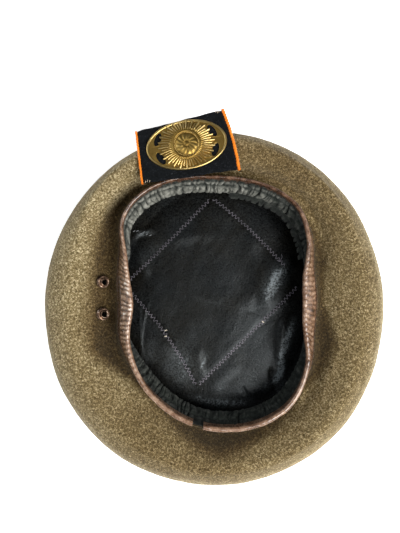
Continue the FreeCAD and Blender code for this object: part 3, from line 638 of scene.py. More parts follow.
def wool_cloth_material():
    """Black milled badge cloth with a fine nap and a little grey lint."""
    n = Nodes("backing_cloth")
    nap = n.noise(1.2, 3.0, 0.7, 0.8)
    colour = n.ramp(nap, (0.35, (0.002, 0.0025, 0.003)), (0.58, (0.005, 0.006, 0.007)),
                    (0.75, (0.035, 0.038, 0.042)))
    lint = n.ramp(n.noise(5.0, 2.0, 0.6), (0.3, 0.7), (0.7, (1.25, 1.25, 1.3)))
    return n.set(Base_Color=n.mix("MULTIPLY", colour, lint), Roughness=0.95,
                 Specular_IOR_Level=0.12, Sheen_Weight=0.05, Sheen_Roughness=0.5,
                 Sheen_Tint=(0.75, 0.85, 1.0), Normal=n.bump(nap, 0.6, 0.5))


def thread_material(name, dark, pale):
    """Twisted thread."""
    n = Nodes(name)
    twist = n.noise(0.5, 2.0, 0.6, 0.5)
    return n.set(Base_Color=n.ramp(twist, (0.35, dark), (0.65, pale)), Roughness=0.6,
                 Specular_IOR_Level=0.4, Sheen_Weight=0.3, Normal=n.bump(twist, 0.5, 0.15))


def zigzag_material():
    """Grey-violet thread, paler towards the right and the back, darker towards the left and the
    front.
    """
    n = Nodes("lining_thread")
    twist = n.noise(0.6, 2.0, 0.6, 0.5)
    place = n.math("SUBTRACT", n.axis("Y"), n.axis("X"))
    thread_tone = n.total((n.range(place, -0.09, 0.05, 0.56, 0.30), 1.0),
                   (n.noise(9.0, 2.0, 0.5), 0.4), (twist, 0.2))
    colour = n.ramp(thread_tone, (0.2, (0.016, 0.016, 0.020)), (0.55, (0.075, 0.070, 0.085)),
                    (0.95, (0.34, 0.31, 0.36)))
    return n.set(Base_Color=colour, Roughness=0.45, Specular_IOR_Level=0.5,
                 Sheen_Weight=0.2, Normal=n.bump(twist, 0.5, 0.12))


def piping_material():
    """Bright orange rayon cord."""
    n = Nodes("piping")
    strand = n.noise(0.7, 2.0, 0.6, 0.4)
    colour = n.ramp(strand, (0.3, (0.85, 0.16, 0.004)), (0.6, (1.0, 0.27, 0.008)),
                    (0.8, (1.0, 0.42, 0.05)))
    dirt = n.ramp(n.noise(6.0, 3.0, 0.6), (0.3, (0.72, 0.66, 0.6)), (0.5, 1.0))
    return n.set(Base_Color=n.mix("MULTIPLY", colour, dirt), Roughness=0.5,
                 Specular_IOR_Level=0.4, Normal=n.bump(strand, 0.4, 0.2))


def brass_material():
    """Struck brass with a dull patina in its low places and brighter raised edges."""
    n = Nodes("badge_brass")
    fine = n.noise(0.9, 3.0, 0.6)
    value = n.total((n.noise(9.0, 4.0, 0.6, 0.3), 0.45), (n.wear_and_painted_light(), 0.5), (fine, 0.15))
    colour = n.ramp(value, (0.18, (0.13, 0.072, 0.016)), (0.42, (0.36, 0.235, 0.062)),
                    (0.70, (0.60, 0.45, 0.18)), (0.95, (0.92, 0.80, 0.50)))
    return n.set(Base_Color=colour, Roughness=n.range(value, 0.2, 0.9, 0.50, 0.26),
                 Metallic=1.0, Normal=n.bump(fine, 0.18, 0.12))


def eyelet_material():
    """Antique copper-brown plating, rubbed bright in places."""
    n = Nodes("eyelet")
    patina = n.noise(2.6, 4.0, 0.65, 0.5)
    colour = n.ramp(patina, (0.34, (0.030, 0.018, 0.012)), (0.48, (0.125, 0.074, 0.048)),
                    (0.60, (0.31, 0.205, 0.142)), (0.72, (0.84, 0.68, 0.55)))
    return n.set(Base_Color=colour, Roughness=n.range(patina, 0.35, 0.7, 0.50, 0.28),
                 Metallic=0.85, Normal=n.bump(n.noise(0.6, 2.0, 0.6), 0.3, 0.15))


def board_material():
    """Stiffened canvas board."""
    n = Nodes("buckram")
    weave = n.noise(0.9, 2.0, 0.6)
    colour = n.ramp(weave, (0.35, (0.36, 0.31, 0.22)), (0.65, (0.60, 0.54, 0.42)))
    return n.set(Base_Color=colour, Roughness=0.9, Normal=n.bump(weave, 0.5, 0.3))


# ---------------------------------------------------------------- felt shell


def brim_tilt(x, y):
    """Height and unit normal of the brim's upper face at a place."""
    angle = full_circle(720)
    rows = smooth_rows(shell_stations(angle, front_share(angle)), 160, (4, 9))
    points = in_space(shifted(rows, rows[:, 3:]), angle)
    normals = -grid_normals(points, False, True)
    away = np.hypot(points[..., 0] - x, points[..., 1] - y)
    near = np.unravel_index(np.argmin(away), away.shape)
    return points[near][2], normals[near]


def felt_tone_and_painted_light(rows, points, angle, shade):
    """The wool's colour value: painted light and shade by angle and round the rim, painted shade
    beside the band, and a random tone.
    """
    edge = smooth_step(rows[:, 1] - rim_radius(angle), -9.0, 0.0)
    tone = 0.88 * by_angle(FELT_PAINTED_LIGHT, angle) * (1 - shade)
    return tone * (1 + by_angle(RIM_PAINTED_LIGHT, angle) * edge) * (1 + 0.14 * noise_at(points, 24, 18))


def make_felt():
    angle = full_circle(520)
    middle = smooth_rows(shell_stations(angle, front_share(angle)), 112)
    line, half = middle[:, :3], middle[:, 3:]
    outer = shifted(line, half)
    inner = shifted(line, -half)[::-1][::2]
    discs = [0.02, 0.15, 0.32, 0.5, 0.66, 0.8, 0.9]
    crown = [outer[0] * np.array([[1], [part], [1]]) for part in discs]
    inside = [inner[-1] * np.array([[1], [part], [1]]) for part in discs[::-1]]
    rows = np.array([*crown, *outer, *round_end(line, half[-1, 0], -1, 1), *inner, *inside])
    points = in_space(rows, angle)
    out = -grid_normals(points, False, True)
    swell = noises(points, (0.70, 46, 1), (0.32, 17, 2), (0.12, 5, 3))
    level = np.clip((points[..., 2] - 1.0) / 6.0, 0, 1)
    from_foot = rows[:, 1] - foot_radius(angle)
    near_band = np.clip((from_foot - 3) / 10.0, 0.0, 1.0)
    points = points + out * (swell * level * near_band)[..., None]
    beside = from_foot - 1.5
    width = by_angle(VALLEY_SHADE, angle) + 2.5 * noise_along(angle, 14.0, 17)
    # shade is painted shade in the wool's colour beside the band; it also sinks the felt there.
    shade = 0.94 - 0.94 * smooth_step(beside / width, 0.58, 1.08)
    shade *= by_angle(VALLEY_SHADE, angle, 2)
    points[..., 2] -= 2.8 * shade * smooth_step(beside, 0.5, 4.0) * level
    piece = grid_piece("felt_shell", points, caps=("first", "last"))
    set_wear_and_painted_light(piece, felt_tone_and_painted_light(rows, points, angle, shade))
    for node in ("vent_eyelet_front", "vent_eyelet_rear"):
        cut_round_hole(piece, node, EYELET_BORE + 0.7)
    finish_piece(piece, felt_material(), ["felt_body"])


def eyelet_place(node):
    """An eyelet's centre on the felt's face and the felt's normal there."""
    low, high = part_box(node)
    x, y = (0.5 * (low[k] + high[k]) / MM for k in (0, 1))
    height, normal = brim_tilt(x, y)
    for repeat in range(2):
        height, normal = brim_tilt(x + normal[0], y + normal[1])
    return np.array([x, y, height]), normal


def mesh_of(thing):
    """A new mesh of an object with its modifiers or curve settings worked out."""
    graph = bpy.context.evaluated_depsgraph_get()
    return bpy.data.meshes.new_from_object(thing.evaluated_get(graph))


def cut_round_hole(piece, node, radius):
    """Cut a vent hole through a piece, square to the felt."""
    centre, normal = eyelet_place(node)
    path = [centre - normal * 9.0, centre, centre + normal * 9.0]
    tool = tubes_piece("hole_tool", [path], radius, 40)
    cut = piece.modifiers.new("hole", "BOOLEAN")
    cut.operation = "DIFFERENCE"
    cut.solver = "EXACT"
    cut.object = tool
    mesh = mesh_of(piece)
    piece.modifiers.clear()
    piece.data = mesh
    bpy.data.objects.remove(tool, do_unlink=True)


# ---------------------------------------------------------------- leather binding


def wall_rows(angle, count):
    """The band's wall from the leather's foot to the crest."""
    return smooth_rows(shell_stations(angle, front_share(angle)), count,
                       (FOOT_STATION, EDGE_STATION))


def leather_line(angle):
    """Leather from its outer foot over the felt's edge and down the inside."""
    wall = wall_rows(angle, 18)
    line, half = wall[:, :3], wall[:, 3:]
    slim = 1 - 0.45 * slimness(angle)
    outer_gap = (GAP + LEATHER / 2) * slim
    inner_gap = (3 * GAP + CLOTH + LEATHER / 2) * slim
    outer = shifted(line, half + outer_gap)
    inner = shifted(line, -(half + inner_gap))
    normal = normals_of(line)[-1]
    along = np.stack([-normal[1], normal[0]])
    middle = 0.5 * (outer_gap - inner_gap)
    reach = half[-1, 0] + 0.5 * (outer_gap + inner_gap)
    over = []
    for turn in np.radians([75, 55, 35, 15, 0, -15, -35, -55, -75]):
        row = line[-1].copy()
        row[1:] += normal * (middle + reach * math.sin(turn)) + along * (1.45 * math.cos(turn))
        over.append(row)
    for down in (0.0, 1.2, 2.4, 3.7, LEATHER_INNER_LEG):
        row = inner[-1].copy()
        row[1:] -= along * down
        over.append(row)
    return np.array([*outer, *over])


def make_leather():
    angle = np.linspace(*LEATHER_ENDS, 1260)
    rows = closed_section(leather_line(angle), LEATHER / 2 * (1 - 0.35 * slimness(angle)))
    points = in_space(rows, angle)
    along = arc_length(points[9])
    side = sideways(angle, 4)
    cosine = np.cos(np.radians(angle))
    left, right = smooth_step(-cosine, 0.3, 0.9), smooth_step(cosine, 0.2, 0.9)

    # The section's rows: a plain flange at the foot on the left, then the ribs, then the roll.
    row = np.arange(len(rows))[:, None]
    flange = left * (1 - smooth_step(row, 5, 7))
    seam_line = left * np.exp(-((row - 5.5) / 0.8) ** 2)
    ribbed = smooth_step(row, -2, 4) * (1 - smooth_step(row, 17, 26)) * (1 - flange)
    roll = smooth_step(row, 16, 20) * (1 - smooth_step(row, 25, 30))

    phase = along / RIB_PITCH + 0.45 * noise_along(along, 9.0, 5) + 0.25 * noise_along(along, 31.0, 6)
    lean = 0.25 * np.sin(row / 5.0) + 0.3 * noise_at(points, 7.0, 20)
    ribs = np.abs(np.sin(math.pi * (phase + lean))) ** 0.8 + 0.35 * noise_at(points, 3.2, 10)
    strength = np.clip(0.75 + 0.7 * noise_along(along, 13.0, 7), 0.15, 1.4)
    depth = (0.10 + (0.26 + 0.14 * left) * side) * strength
    crumple = noise_at(points, 2.6, 8)
    lumps = noise_at(points, 9.0, 9)
    lift = (ribs - 0.6) * depth * ribbed
    lift += crumple * (0.10 + 0.12 * side) * (ribbed + 0.7 * roll)
    lift += lumps * 0.28 * np.clip(ribbed + roll, 0, 1) - 0.25 * seam_line
    points = points - grid_normals(points, True, False) * lift[..., None]
    piece = grid_piece("leather_strip", points, True, False, ("left", "right"))

    # The colour value: wear and painted highlights on the rib crests, the roll and the lumps; painted
    # shade in the creases, along the seam line and at the foot; darker at the sides and where the
    # strip is pulled flat at the front.
    raised = 0.34 + (0.34 + 0.46 * left) * (ribs - 0.5) * ribbed * (0.35 + 0.65 * side)
    raised += (0.06 + 0.10 * left) * roll + 0.16 * crumple + 0.22 * right * lumps * ribbed
    raised -= 0.02 * right + 0.05 * left + 0.26 * slimness(angle)
    raised -= 0.08 * (1 - smooth_step(row, 4, 15)) * (1 - right) - 0.16 * noise_at(points, 4.0, 19)
    raised -= 0.32 * flange + 0.6 * seam_line + 0.5 * np.exp(-((row - 1.5) / 1.2) ** 2)
    finish_piece(piece, leather_material(), ["leather_binding"], raised)


def make_binding_thread():
    """Short sunken stitches along the leather's outer foot."""
    along = np.linspace(*LEATHER_ENDS, 4000)
    wall = wall_rows(along, 10)
    foot = in_space(shifted(wall[:, :3], wall[:, 3:] + GAP + LEATHER + 0.12), along)[1]
    distance = arc_length(foot)
    paths = []
    for start in np.arange(4.0, distance[-1] - 6.0, STITCH_PITCH):
        where = start + np.linspace(0, STITCH_LENGTH, 7)
        paths.append(xyz(*(np.interp(where, distance, foot[:, k]) for k in range(3))))
    piece = tubes_piece("binding_stitches", paths, 0.24)
    material = thread_material("binding_thread", (0.020, 0.010, 0.006), (0.075, 0.045, 0.030))
    finish_piece(piece, material, ["binding_seam_thread"])


# ---------------------------------------------------------------- gathered facing


def gathers(along, seed, pitch, lean=0.0):
    """Irregular pinched folds along a strip, from -1 in the creases to 1 on the crowns."""
    phase = along / pitch + 0.75 * noise_along(along, 2.2 * pitch, seed)
    phase = phase + 0.6 * noise_along(along, 7.0 * pitch, seed + 1) + lean
    wave = 1.0 - 2.0 * np.abs(np.cos(math.pi * phase)) ** 9
    return wave * np.clip(0.75 + 0.8 * noise_along(along, 3.1 * pitch, seed + 2), 0.15, 1.4)


def facing_rows(angle):
    """Facing from its gathered lower edge up to the band's crest."""
    wall = wall_rows(angle, 9)
    top = shifted(wall[:, :3], -(wall[:, 3:] + GAP + CLOTH / 2))[4:]
    low = station(angle, 1.0, facing_low_radius(angle), FACING_LOW)
    return smooth_rows(np.array([low, 0.5 * (low + top[0]), *top[::2]]), 26)


def make_facing():
    angle = full_circle(1500)
    line = facing_rows(angle)
    points = in_space(closed_section(line, CLOTH / 2), angle)
    count = len(line)
    along = arc_length(points[count // 2])
    share = np.concatenate([np.linspace(0, 1, count), np.ones(5),
                            np.linspace(1, 0, count), np.zeros(5)])[:, None]
    lean = 0.55 * noise_at(points, 9.0, 12)
    coarse = gathers(along, 21, 9.0, lean)
    wave = 0.5 * gathers(along, 11, 4.6, lean) + 0.5 * coarse
    pinch = np.exp(-((share - 0.45) / 0.07) ** 2)
    deep = (1.0 - 0.5 * share) * (1 - 0.6 * pinch) * (0.45 + 0.55 * smooth_step(share, 0.0, 0.25))
    end = 1 - sideways(angle, 2)
    lift = deep * (1.7 * wave * (0.45 + 0.6 * end) + 0.5 * noise_at(points, 6.0, 14))
    lift = (lift - 0.55 * pinch) * smooth_step(1 - share, 0.0, 0.25) + 0.45 * (1 - share)
    points = points + inwards(angle, 0.25) * lift[..., None]
    points[..., 2] += (1 - share) * (0.7 * noise_along(along, 5.0, 15) + 0.5 * coarse)
    piece = grid_piece("sweatband_cloth", points, True, True)

    # The colour value: painted light and shade by angle, painted shade in the creases, at the pinched
    # seam and towards the top under the leather, and painted highlights on the fold crowns.
    painted_light_by_angle = by_angle(FACING_PAINTED_LIGHT, angle)
    crease_shade = np.clip(0.4 - wave, 0.0, 1.4) * deep * (1 - smooth_step(share, 0.7, 0.9))
    wear_and_painted_light = 0.68 - crease_shade * (1.1 - 0.5 * painted_light_by_angle) + 0.2 * np.clip(wave, 0, 1) * deep
    wear_and_painted_light += 0.2 * noise_at(points, 2.2, 16) - 0.45 * pinch
    wear_and_painted_light *= painted_light_by_angle * (1 - 0.8 * smooth_step(share, 0.62, 0.8))
    material = facing_material()
    finish_piece(piece, material, ["sweatband_facing"], wear_and_painted_light)
    return material


def make_frill(material):
    """A narrow second row that hangs inside the facing's lower edge."""
    angle = np.linspace(*FRILL_ANGLES, 300)
    low = facing_low_radius(angle)
    line = smooth_rows(np.array([station(angle, 1.0, low - 1.0, FACING_LOW + 3.0),
                                 station(angle, 1.0, low - 2.2, FACING_LOW - 0.5),
                                 station(angle, 1.0, low - 3.2, FACING_LOW - 4.5)]), 12)
    rows = closed_section(line, 0.3)
    points = in_space(rows, angle)
    along = arc_length(points[5])
    wave = gathers(along, 31, 5.5)
    hang = np.clip((FACING_LOW + 3.0 - rows[:, 2]) / 7.5, 0, 1)
    points = points + inwards(angle) * (hang * (0.9 * wave + 0.4))[..., None]
    points[..., 2] += hang * 0.8 * noise_along(along, 7.0, 33)
    piece = grid_piece("sweatband_frill", points, True, False, ("left", "right"))
    # The frill's colour value: painted highlights on the crowns of its folds.
    finish_piece(piece, material, ["facing_lower_frill"], 0.05 + 0.2 * wave * hang)


# ---------------------------------------------------------------- lining

# Soft folds of the lining: start, end, height, width towards the light, width away from it.
FOLDS = [
    ((-13.9, -31.0), (-9.5, -57.0), 0.7, 3.2, 6.0),
    ((60.0, -4.0), (58.0, -50.0), 2.2, 3.2, 5.0),
    ((68.0, 48.0), (41.0, 6.0), 3.2, 5.5, 9.0),
    ((50.0, 46.0), (28.0, 2.0), 0.5, 3.0, 7.0),
    ((-55.0, 10.0), (-61.5, -48.0), 0.6, 1.6, 5.0),
    ((20.0, -46.0), (-2.0, -68.0), 0.5, 4.0, 6.0),
    ((42.0, -6.0), (22.0, 1.0), -0.5, 1.2, 1.6),
    ((-50.0, 66.0), (-70.0, 62.0), 1.3, 2.0, 4.0),
    ((-66.0, 55.0), (-56.0, 30.0), 1.1, 2.6, 5.0),
    ((47.0, -48.0), (53.0, -70.0), -1.2, 1.4, 2.2),
    ((24.0, -64.0), (31.0, -76.0), -0.8, 1.2, 1.8),
    ((-4.0, 64.0), (-38.0, 58.0), 0.9, 5.0, 8.0),
    ((30.0, 62.0), (44.0, 20.0), 0.7, 4.0, 8.0),
]

# Painted highlights where the lining's sheen catches the light: start, end, half width, strength.
PAINTED_SHEEN = [
    ((61.0, 39.0), (42.0, 6.0), 6.2, 0.85),
    ((52.0, 34.0), (49.0, 22.0), 3.0, 0.5),
    ((41.0, 8.0), (30.0, -23.0), 6.0, 0.22),
    ((66.0, -8.0), (54.0, -62.0), 3.4, 1.0),
    ((48.0, -30.0), (41.0, -58.0), 3.0, 0.22),
    ((-24.0, -72.0), (34.0, -77.0), 4.0, 0.55),
    ((40.0, -66.0), (60.0, -46.0), 3.0, 0.45),
    ((19.0, -46.0), (-1.0, -70.0), 5.0, 0.22),
    ((-7.0, -36.0), (-11.5, -52.0), 1.8, 0.42),
    ((-43.0, 60.0), (-61.0, 32.0), 6.0, 0.20),
    ((-66.0, 64.0), (-52.0, 67.0), 2.2, 0.5),
    ((-52.0, -24.0), (-55.0, -44.0), 5.0, 0.22),
    ((-36.0, -28.0), (-18.0, -64.0), 14.0, 0.33),
    ((-8.0, -66.0), (46.0, -61.0), 5.0, 0.16),
    ((-61.0, 11.0), (-57.0, -46.0), 0.9, 0.25),
    ((19.0, -2.0), (42.0, 5.0), 0.9, 0.40),
    ((-20.0, 12.0), (6.0, 6.0), 1.4, 0.14),
]


def stroke(x, y, start, end, bow, fade_out, fade_in):
    """Distance to the left of a bowed line, and 1 along it with both of its ends faded."""
    (ax, ay), (bx, by) = start, end
    length = math.hypot(bx - ax, by - ay)
    ux, uy = (bx - ax) / length, (by - ay) / length
    share = ((x - ax) * ux + (y - ay) * uy) / length
    aside = (x - ax) * -uy + (y - ay) * ux
    aside = aside + bow * length * np.sin(np.clip(share, 0, 1) * math.pi)
    ends = smooth_step(share, -fade_out, fade_in) * smooth_step(1 - share, -fade_out, fade_in)
    return aside, ends


def slanted(x, y):
    """The place measured across and along the lining's main direction of wrinkles."""
    return x * 0.8 - y * 0.6, x * 0.6 + y * 0.8


def lining_height(x, y):
    """Height of the lining's upper face: a soft pillow with folds and small wrinkles."""
    from_middle = np.hypot((x - 1.0) / 78.0, (y - 7.0) / 96.0)
    height = 4.3 + 4.2 * (1 - np.clip(from_middle, 0, 1) ** 7)
    for start, end, rise, near, far in FOLDS:
        aside, ends = stroke(x, y, start, end, 0.06, 0.12, 0.22)
        height = height + rise * np.exp(-(aside / np.where(aside > 0, near, far)) ** 2) * ends
    across, along = slanted(x, y)
    return (height + 0.7 * noise_at(xyz(x, 0.6 * y, 0.0), 30, 41)
            + 0.09 * noise_at(xyz(across, 0.35 * along, 0.0), 4.5, 43)
            + noises(xyz(x, y, 0.0), (0.25, 13, 42), (0.04, 2.6, 44)))


def lining_painted_sheen(points):
    """How much painted sheen highlight the lining has at each point, 0 to 1."""
    x, y = points[..., 0], points[..., 1]
    total = 0.0
    for start, end, reach, strength in PAINTED_SHEEN:
        aside, ends = stroke(x, y, start, end, 0.05, 0.15, 0.3)
        total = total + strength * np.exp(-(aside / reach) ** 2) * ends
    across, along = slanted(x, y)
    streaks = noise_at(xyz(across / 3.0, along / 9.0, 0.0), 1.0, 45)
    return total * np.clip(0.9 + 0.6 * streaks, 0.3, 1.5)


def make_lining_crown(material):
    angle = full_circle(520)
    turn = np.radians(angle)
    outer = rim_radius(angle) - 7.0
    share = np.concatenate([np.linspace(0.015, 0.80, 150), np.linspace(0.82, 1.0, 16)])[:, None]
    x = share * outer * np.cos(turn)
    y = share * outer * np.sin(turn) + (1 - share) * BAND_CENTRE[1]
    top = xyz(x, y, lining_height(x, y) + 5.0 * smooth_step(share, 0.86, 1.0))
    under = top[::-1][::3] - np.array([0.0, 0.0, 0.35])
    points = np.concatenate([top, under])
    piece = grid_piece("lining_tip", points, caps=("first", "last"))
    finish_piece(piece, material, ["lining_crown"], lining_painted_sheen(points))


def make_lining_side(material):
    angle = full_circle(420)
    bag = shifted(shell_stations(angle, 0.0)[:, :3], -POCKET_CLEARANCE)[2:8]
    low = facing_low_radius(angle)
    behind = station(angle, 1.0, low + 8, VALLEY_HEIGHT - POCKET_CLEARANCE)
    seam = station(angle, 1.0, low + 2.2, FACING_LOW - 4.0)
    top = station(angle, 1.0, low + 1.7, FACING_LOW - 0.8)
    rows = closed_section(smooth_rows(np.array([*bag, behind, seam, top]), 60), 0.2)
    points = in_space(rows, angle)
    row = np.arange(len(rows))
    away = smooth_step(row, 2, 12) * (1 - smooth_step(row, 48, 58))
    fold = 0.8 * noise_at(points * np.array([1.0, 1.0, 0.4]), 12, 51) * away[:, None]
    points = points - grid_normals(points, True, True) * fold[..., None]
    piece = grid_piece("lining_wall", points, True, True)
    finish_piece(piece, material, ["lining_side"], 0.0)


# How far each seam of the patch bows inwards, and between which shares of it the zigzag runs.
SEAM_BOW = [-3.8, 0.3, 5.0, 1.0]
ZIGZAG_ENDS = [(0.02, 0.80), (0.02, 0.975), (0.02, 0.93), (0.07, 0.975)]


def seam_path(index, share):
    """Points along one seam of the patch and the direction across it."""
    start, end = PATCH_CORNERS[index], PATCH_CORNERS[(index + 1) % 4]
    along = (end - start) / np.linalg.norm(end - start)
    across = np.array([along[1], -along[0]])
    share = np.asarray(share)[..., None]
    bow = SEAM_BOW[index] * 4 * share * (1 - share)
    return start + (end - start) * share + across * bow, across


def corner_blend(u, v, corners):
    """A place between four corners; u and v run from 0 to 1."""
    first, second, third, fourth = corners
    return ((1 - u) * (1 - v) * first + u * (1 - v) * second + u * v * third
            + (1 - u) * v * fourth)


def make_patch():
    """The diamond reinforcement, stitched down on the lining."""
    share = np.linspace(0, 1, 90)
    first, second, third, fourth = (seam_path(k, share)[0] for k in range(4))
    u, v = share[None, :, None], share[:, None, None]
    place = ((1 - v) * first[None] + v * third[::-1][None] + (1 - u) * fourth[::-1][:, None]
             + u * second[:, None] - corner_blend(u, v, PATCH_CORNERS))
    x, y = place[..., 0], place[..., 1]
    from_end = np.minimum(share, 1 - share)
    inside = smooth_step(np.minimum(from_end[None, :], from_end[:, None]), 0.0, 0.035)
    height = lining_height(x, y)
    top = xyz(x, y, height + 0.12 + 0.33 * inside)
    under = xyz(x, y, height + 0.02 + 0.08 * inside)
    points = np.concatenate([top, under[::-1]])
    piece = grid_piece("lining_patch", points, True, False, ("left", "right"))
    material = lining_material("patch_cloth", 0.9)
    finish_piece(piece, material, ["crown_patch"], lining_painted_sheen(points))


def on_seam(x, y, above):
    """Points above the patch's face along its seams."""
    return xyz(x, y, lining_height(x, y) + 0.42 + above)


def make_zigzag():
    """Four rows of zigzag stitches with a loose hooked tail at one end."""
    paths = []
    for index, (low, high) in enumerate(ZIGZAG_ENDS):
        length = np.linalg.norm(PATCH_CORNERS[(index + 1) % 4] - PATCH_CORNERS[index])
        periods = int(length * (high - low) / ZIGZAG_PITCH)
        phase = np.linspace(0, periods, periods * 12)
        wave = 2 / math.pi * np.arcsin(0.96 * np.sin(TURN * phase))
        jitter = 0.38 * noise_along(phase, 0.9, 60 + index)
        middle, across = seam_path(index, np.linspace(low, high, periods * 12))
        flat = middle + across * ((wave + jitter) * ZIGZAG_REACH)[:, None]
        paths.append(on_seam(*flat.T, 0.16 - 0.16 * np.abs(wave) ** 3))
    hook = np.array([(51.4, 42.6), (53.6, 41.4), (55.4, 43.0), (56.3, 45.2), (55.6, 47.6)])
    share = np.linspace(0, 4, 40)
    flat = [np.interp(share, range(5), hook[:, k]) for k in range(2)]
    flat = [np.convolve(np.pad(line, 3, "edge"), np.ones(7) / 7, "valid") for line in flat]
    paths.append(on_seam(*flat, 0.25))
    piece = tubes_piece("patch_zigzag", paths, 0.23, 7)
    finish_piece(piece, zigzag_material(), ["patch_zigzag_thread"])


def make_tacks():
    """A short row of hand stitches beside the patch, and three pale thread ends."""
    (ax, ay), (bx, by) = TACK_ENDS
    paths = []
    for k, share in enumerate(np.linspace(0.0, 0.86, 6)):
        x = ax + (bx - ax) * (share + np.linspace(0, 0.11, 6))
        y = ay + (by - ay) * share + 1.1 * math.sin(2.4 * k) + np.linspace(0, 0.7, 6)
        arch = 0.5 * np.sin(np.linspace(0, math.pi, 6))
        paths.append(xyz(x, y, lining_height(x, y) + 0.1 + arch))
    piece = tubes_piece("tack_stitches", paths, 0.3, 7)
    material = thread_material("tack_lining_thread", (0.11, 0.12, 0.13), (0.32, 0.34, 0.36))
    finish_piece(piece, material, ["lining_tack_thread"])
    ends = []
    reach = np.linspace(-1.0, 1.0, 7)
    for x, y, turn in ((-41.1, -16.5, 0.3), (-41.3, -21.4, 0.1), (40.3, -9.4, -0.6)):
        ends.append(on_seam(x + reach * math.cos(turn), y + reach * math.sin(turn),
                            0.3 - 0.2 * reach ** 2))
    piece = tubes_piece("loose_thread_ends", ends, 0.42, 7)
    material = thread_material("pale_thread", (0.62, 0.52, 0.38), (0.92, 0.85, 0.70))
    finish_piece(piece, material)


# ---------------------------------------------------------------- vent eyelets


def turned_ring(name, profile, centre, normal, columns=64, wobble=0.0):
    """A turned piece from a closed profile of (radius, height), set square to a normal."""
    side = np.cross(normal, [0.0, 1.0, 0.0])
    side /= np.linalg.norm(side)
    other = np.cross(normal, side)
    turn = full_circle(columns, TURN)[:, None]
    radius, height = (np.array(values)[:, None, None] for values in zip(*profile))
    points = (centre + radius * (side * np.cos(turn) + other * np.sin(turn))
              + normal * height)
    if wobble:
        points = points + normal * (wobble * noise_at(points, 2.2, 71))[..., None]
    return grid_piece(name, points, True, True)


def make_eyelets():
    """Rolled copper-brown flanges with a barrel down through the felt, and flat washers."""
    roll = [(3.7 + 1.3 * math.cos(turn), 0.05 + 1.15 * math.sin(turn))
            for turn in np.radians(np.arange(-20, 201, 20))]
    profile = [*roll, (EYELET_BORE, -0.3), (EYELET_BORE, -5.0), (3.0, -5.0), (3.0, -0.2)]
    washer = [(3.1, -0.5), (4.5, -0.5), (4.8, -0.35), (4.8, -0.1), (4.5, 0.0), (3.1, 0.0)]
    material = eyelet_material()
    for place in ("front", "rear"):
        centre, normal = eyelet_place("vent_eyelet_" + place)
        piece = turned_ring("eyelet_" + place, profile, centre, normal, 72, 0.10)
        finish_piece(piece, material, ["vent_eyelet_" + place])
        ring = turned_ring("washer_" + place, washer, centre - normal * (FELT + 0.5), normal)
        finish_piece(ring, material, ["eyelet_washer_" + place])


# ---------------------------------------------------------------- badge and its backing


def on_badge(points):
    """Points of the badge's own plane in the frame."""
    turn, slope = math.radians(BADGE_TURN), math.radians(BADGE_SLOPE)
    around_x = np.array([[1, 0, 0], [0, math.cos(slope), -math.sin(slope)],
                         [0, math.sin(slope), math.cos(slope)]])
    around_z = np.array([[math.cos(turn), -math.sin(turn), 0],
                         [math.sin(turn), math.cos(turn), 0], [0, 0, 1]])
    return np.asarray(points) @ (around_z @ around_x).T + np.array(BADGE_CENTRE)


def make_backing():
    """The badge's cloth: corners a little rounded, edges rippled and faces uneven."""
    u, v = np.meshgrid(np.linspace(0, 1, 150), np.linspace(0, 1, 100))
    length, width = BACKING_SIZE
    edge = np.minimum.reduce([u * length, (1 - u) * length, v * width, (1 - v) * width])
    rounding = 0.006 * ((2 * u - 1) * (2 * v - 1)) ** 12
    u = u + rounding * np.sign(0.5 - u)
    v = v + rounding * np.sign(0.5 - v)
    x, y = (corner_blend(u, v, values) for values in zip(*BACKING_CORNERS))
    x = x + 1.3 * np.sin(math.pi * v) * smooth_step(u, 0.6, 1.0)
    ripple = 0.7 * noise_at(xyz(x, y, 0.0), 7, 83) * (1 - smooth_step(edge, 0, 5))
    y = y + ripple * np.sign(v - 0.5)
    soft = 0.5 + 0.5 * smooth_step(edge, 0.0, 1.4)
    wave = noises(xyz(x, y, 0.0), (0.30, 22, 81), (0.10, 7, 82)) * smooth_step(edge, 0, 8)
    top = xyz(x, y, BACKING * soft + wave)
    under = xyz(x, y, BACKING * (1 - soft) * 0.8)
    points = on_badge(np.concatenate([top, under[::-1]]))
    piece = grid_piece("badge_cloth", points, True, False, ("left", "right"))
    finish_piece(piece, wool_cloth_material(), ["badge_backing_cloth"])


def twisted_section(distance, turn):
    """The shape of a two-strand cord's section along its length."""
    return 1.0 + 0.13 * np.cos(2 * (turn - distance * 1.35))


def make_piping():
    """Twisted orange cord along the two short edges of the backing cloth."""
    material = piping_material()
    share = np.linspace(-0.01, 1.01, 130)
    arch = np.sin(np.clip(share, 0, 1) * math.pi)
    for name, low, high, side, bow, thick in (("left", 0, 3, -1, 0.2, 0.9),
                                              ("right", 1, 2, 1, 1.5, 1.28)):
        (ax, ay), (bx, by) = BACKING_CORNERS[low], BACKING_CORNERS[high]
        y = ay + (by - ay) * share
        x = ax + (bx - ax) * share + side * (PIPING_RADIUS - 0.3 + bow * arch)
        x = x + 0.22 * noise_along(y, 6.0, 90 + side)
        z = BACKING / 2 + 0.15 * noise_along(y, 9.0, 95 + side)
        radius = PIPING_RADIUS * (thick + 0.22 * noise_along(y, 5.0, 98 + side))
        piece = tubes_piece("piping_cord_" + name, [on_badge(xyz(x, y, z))], radius, 18,
                            twisted_section)
        finish_piece(piece, material, ["piping_" + name])


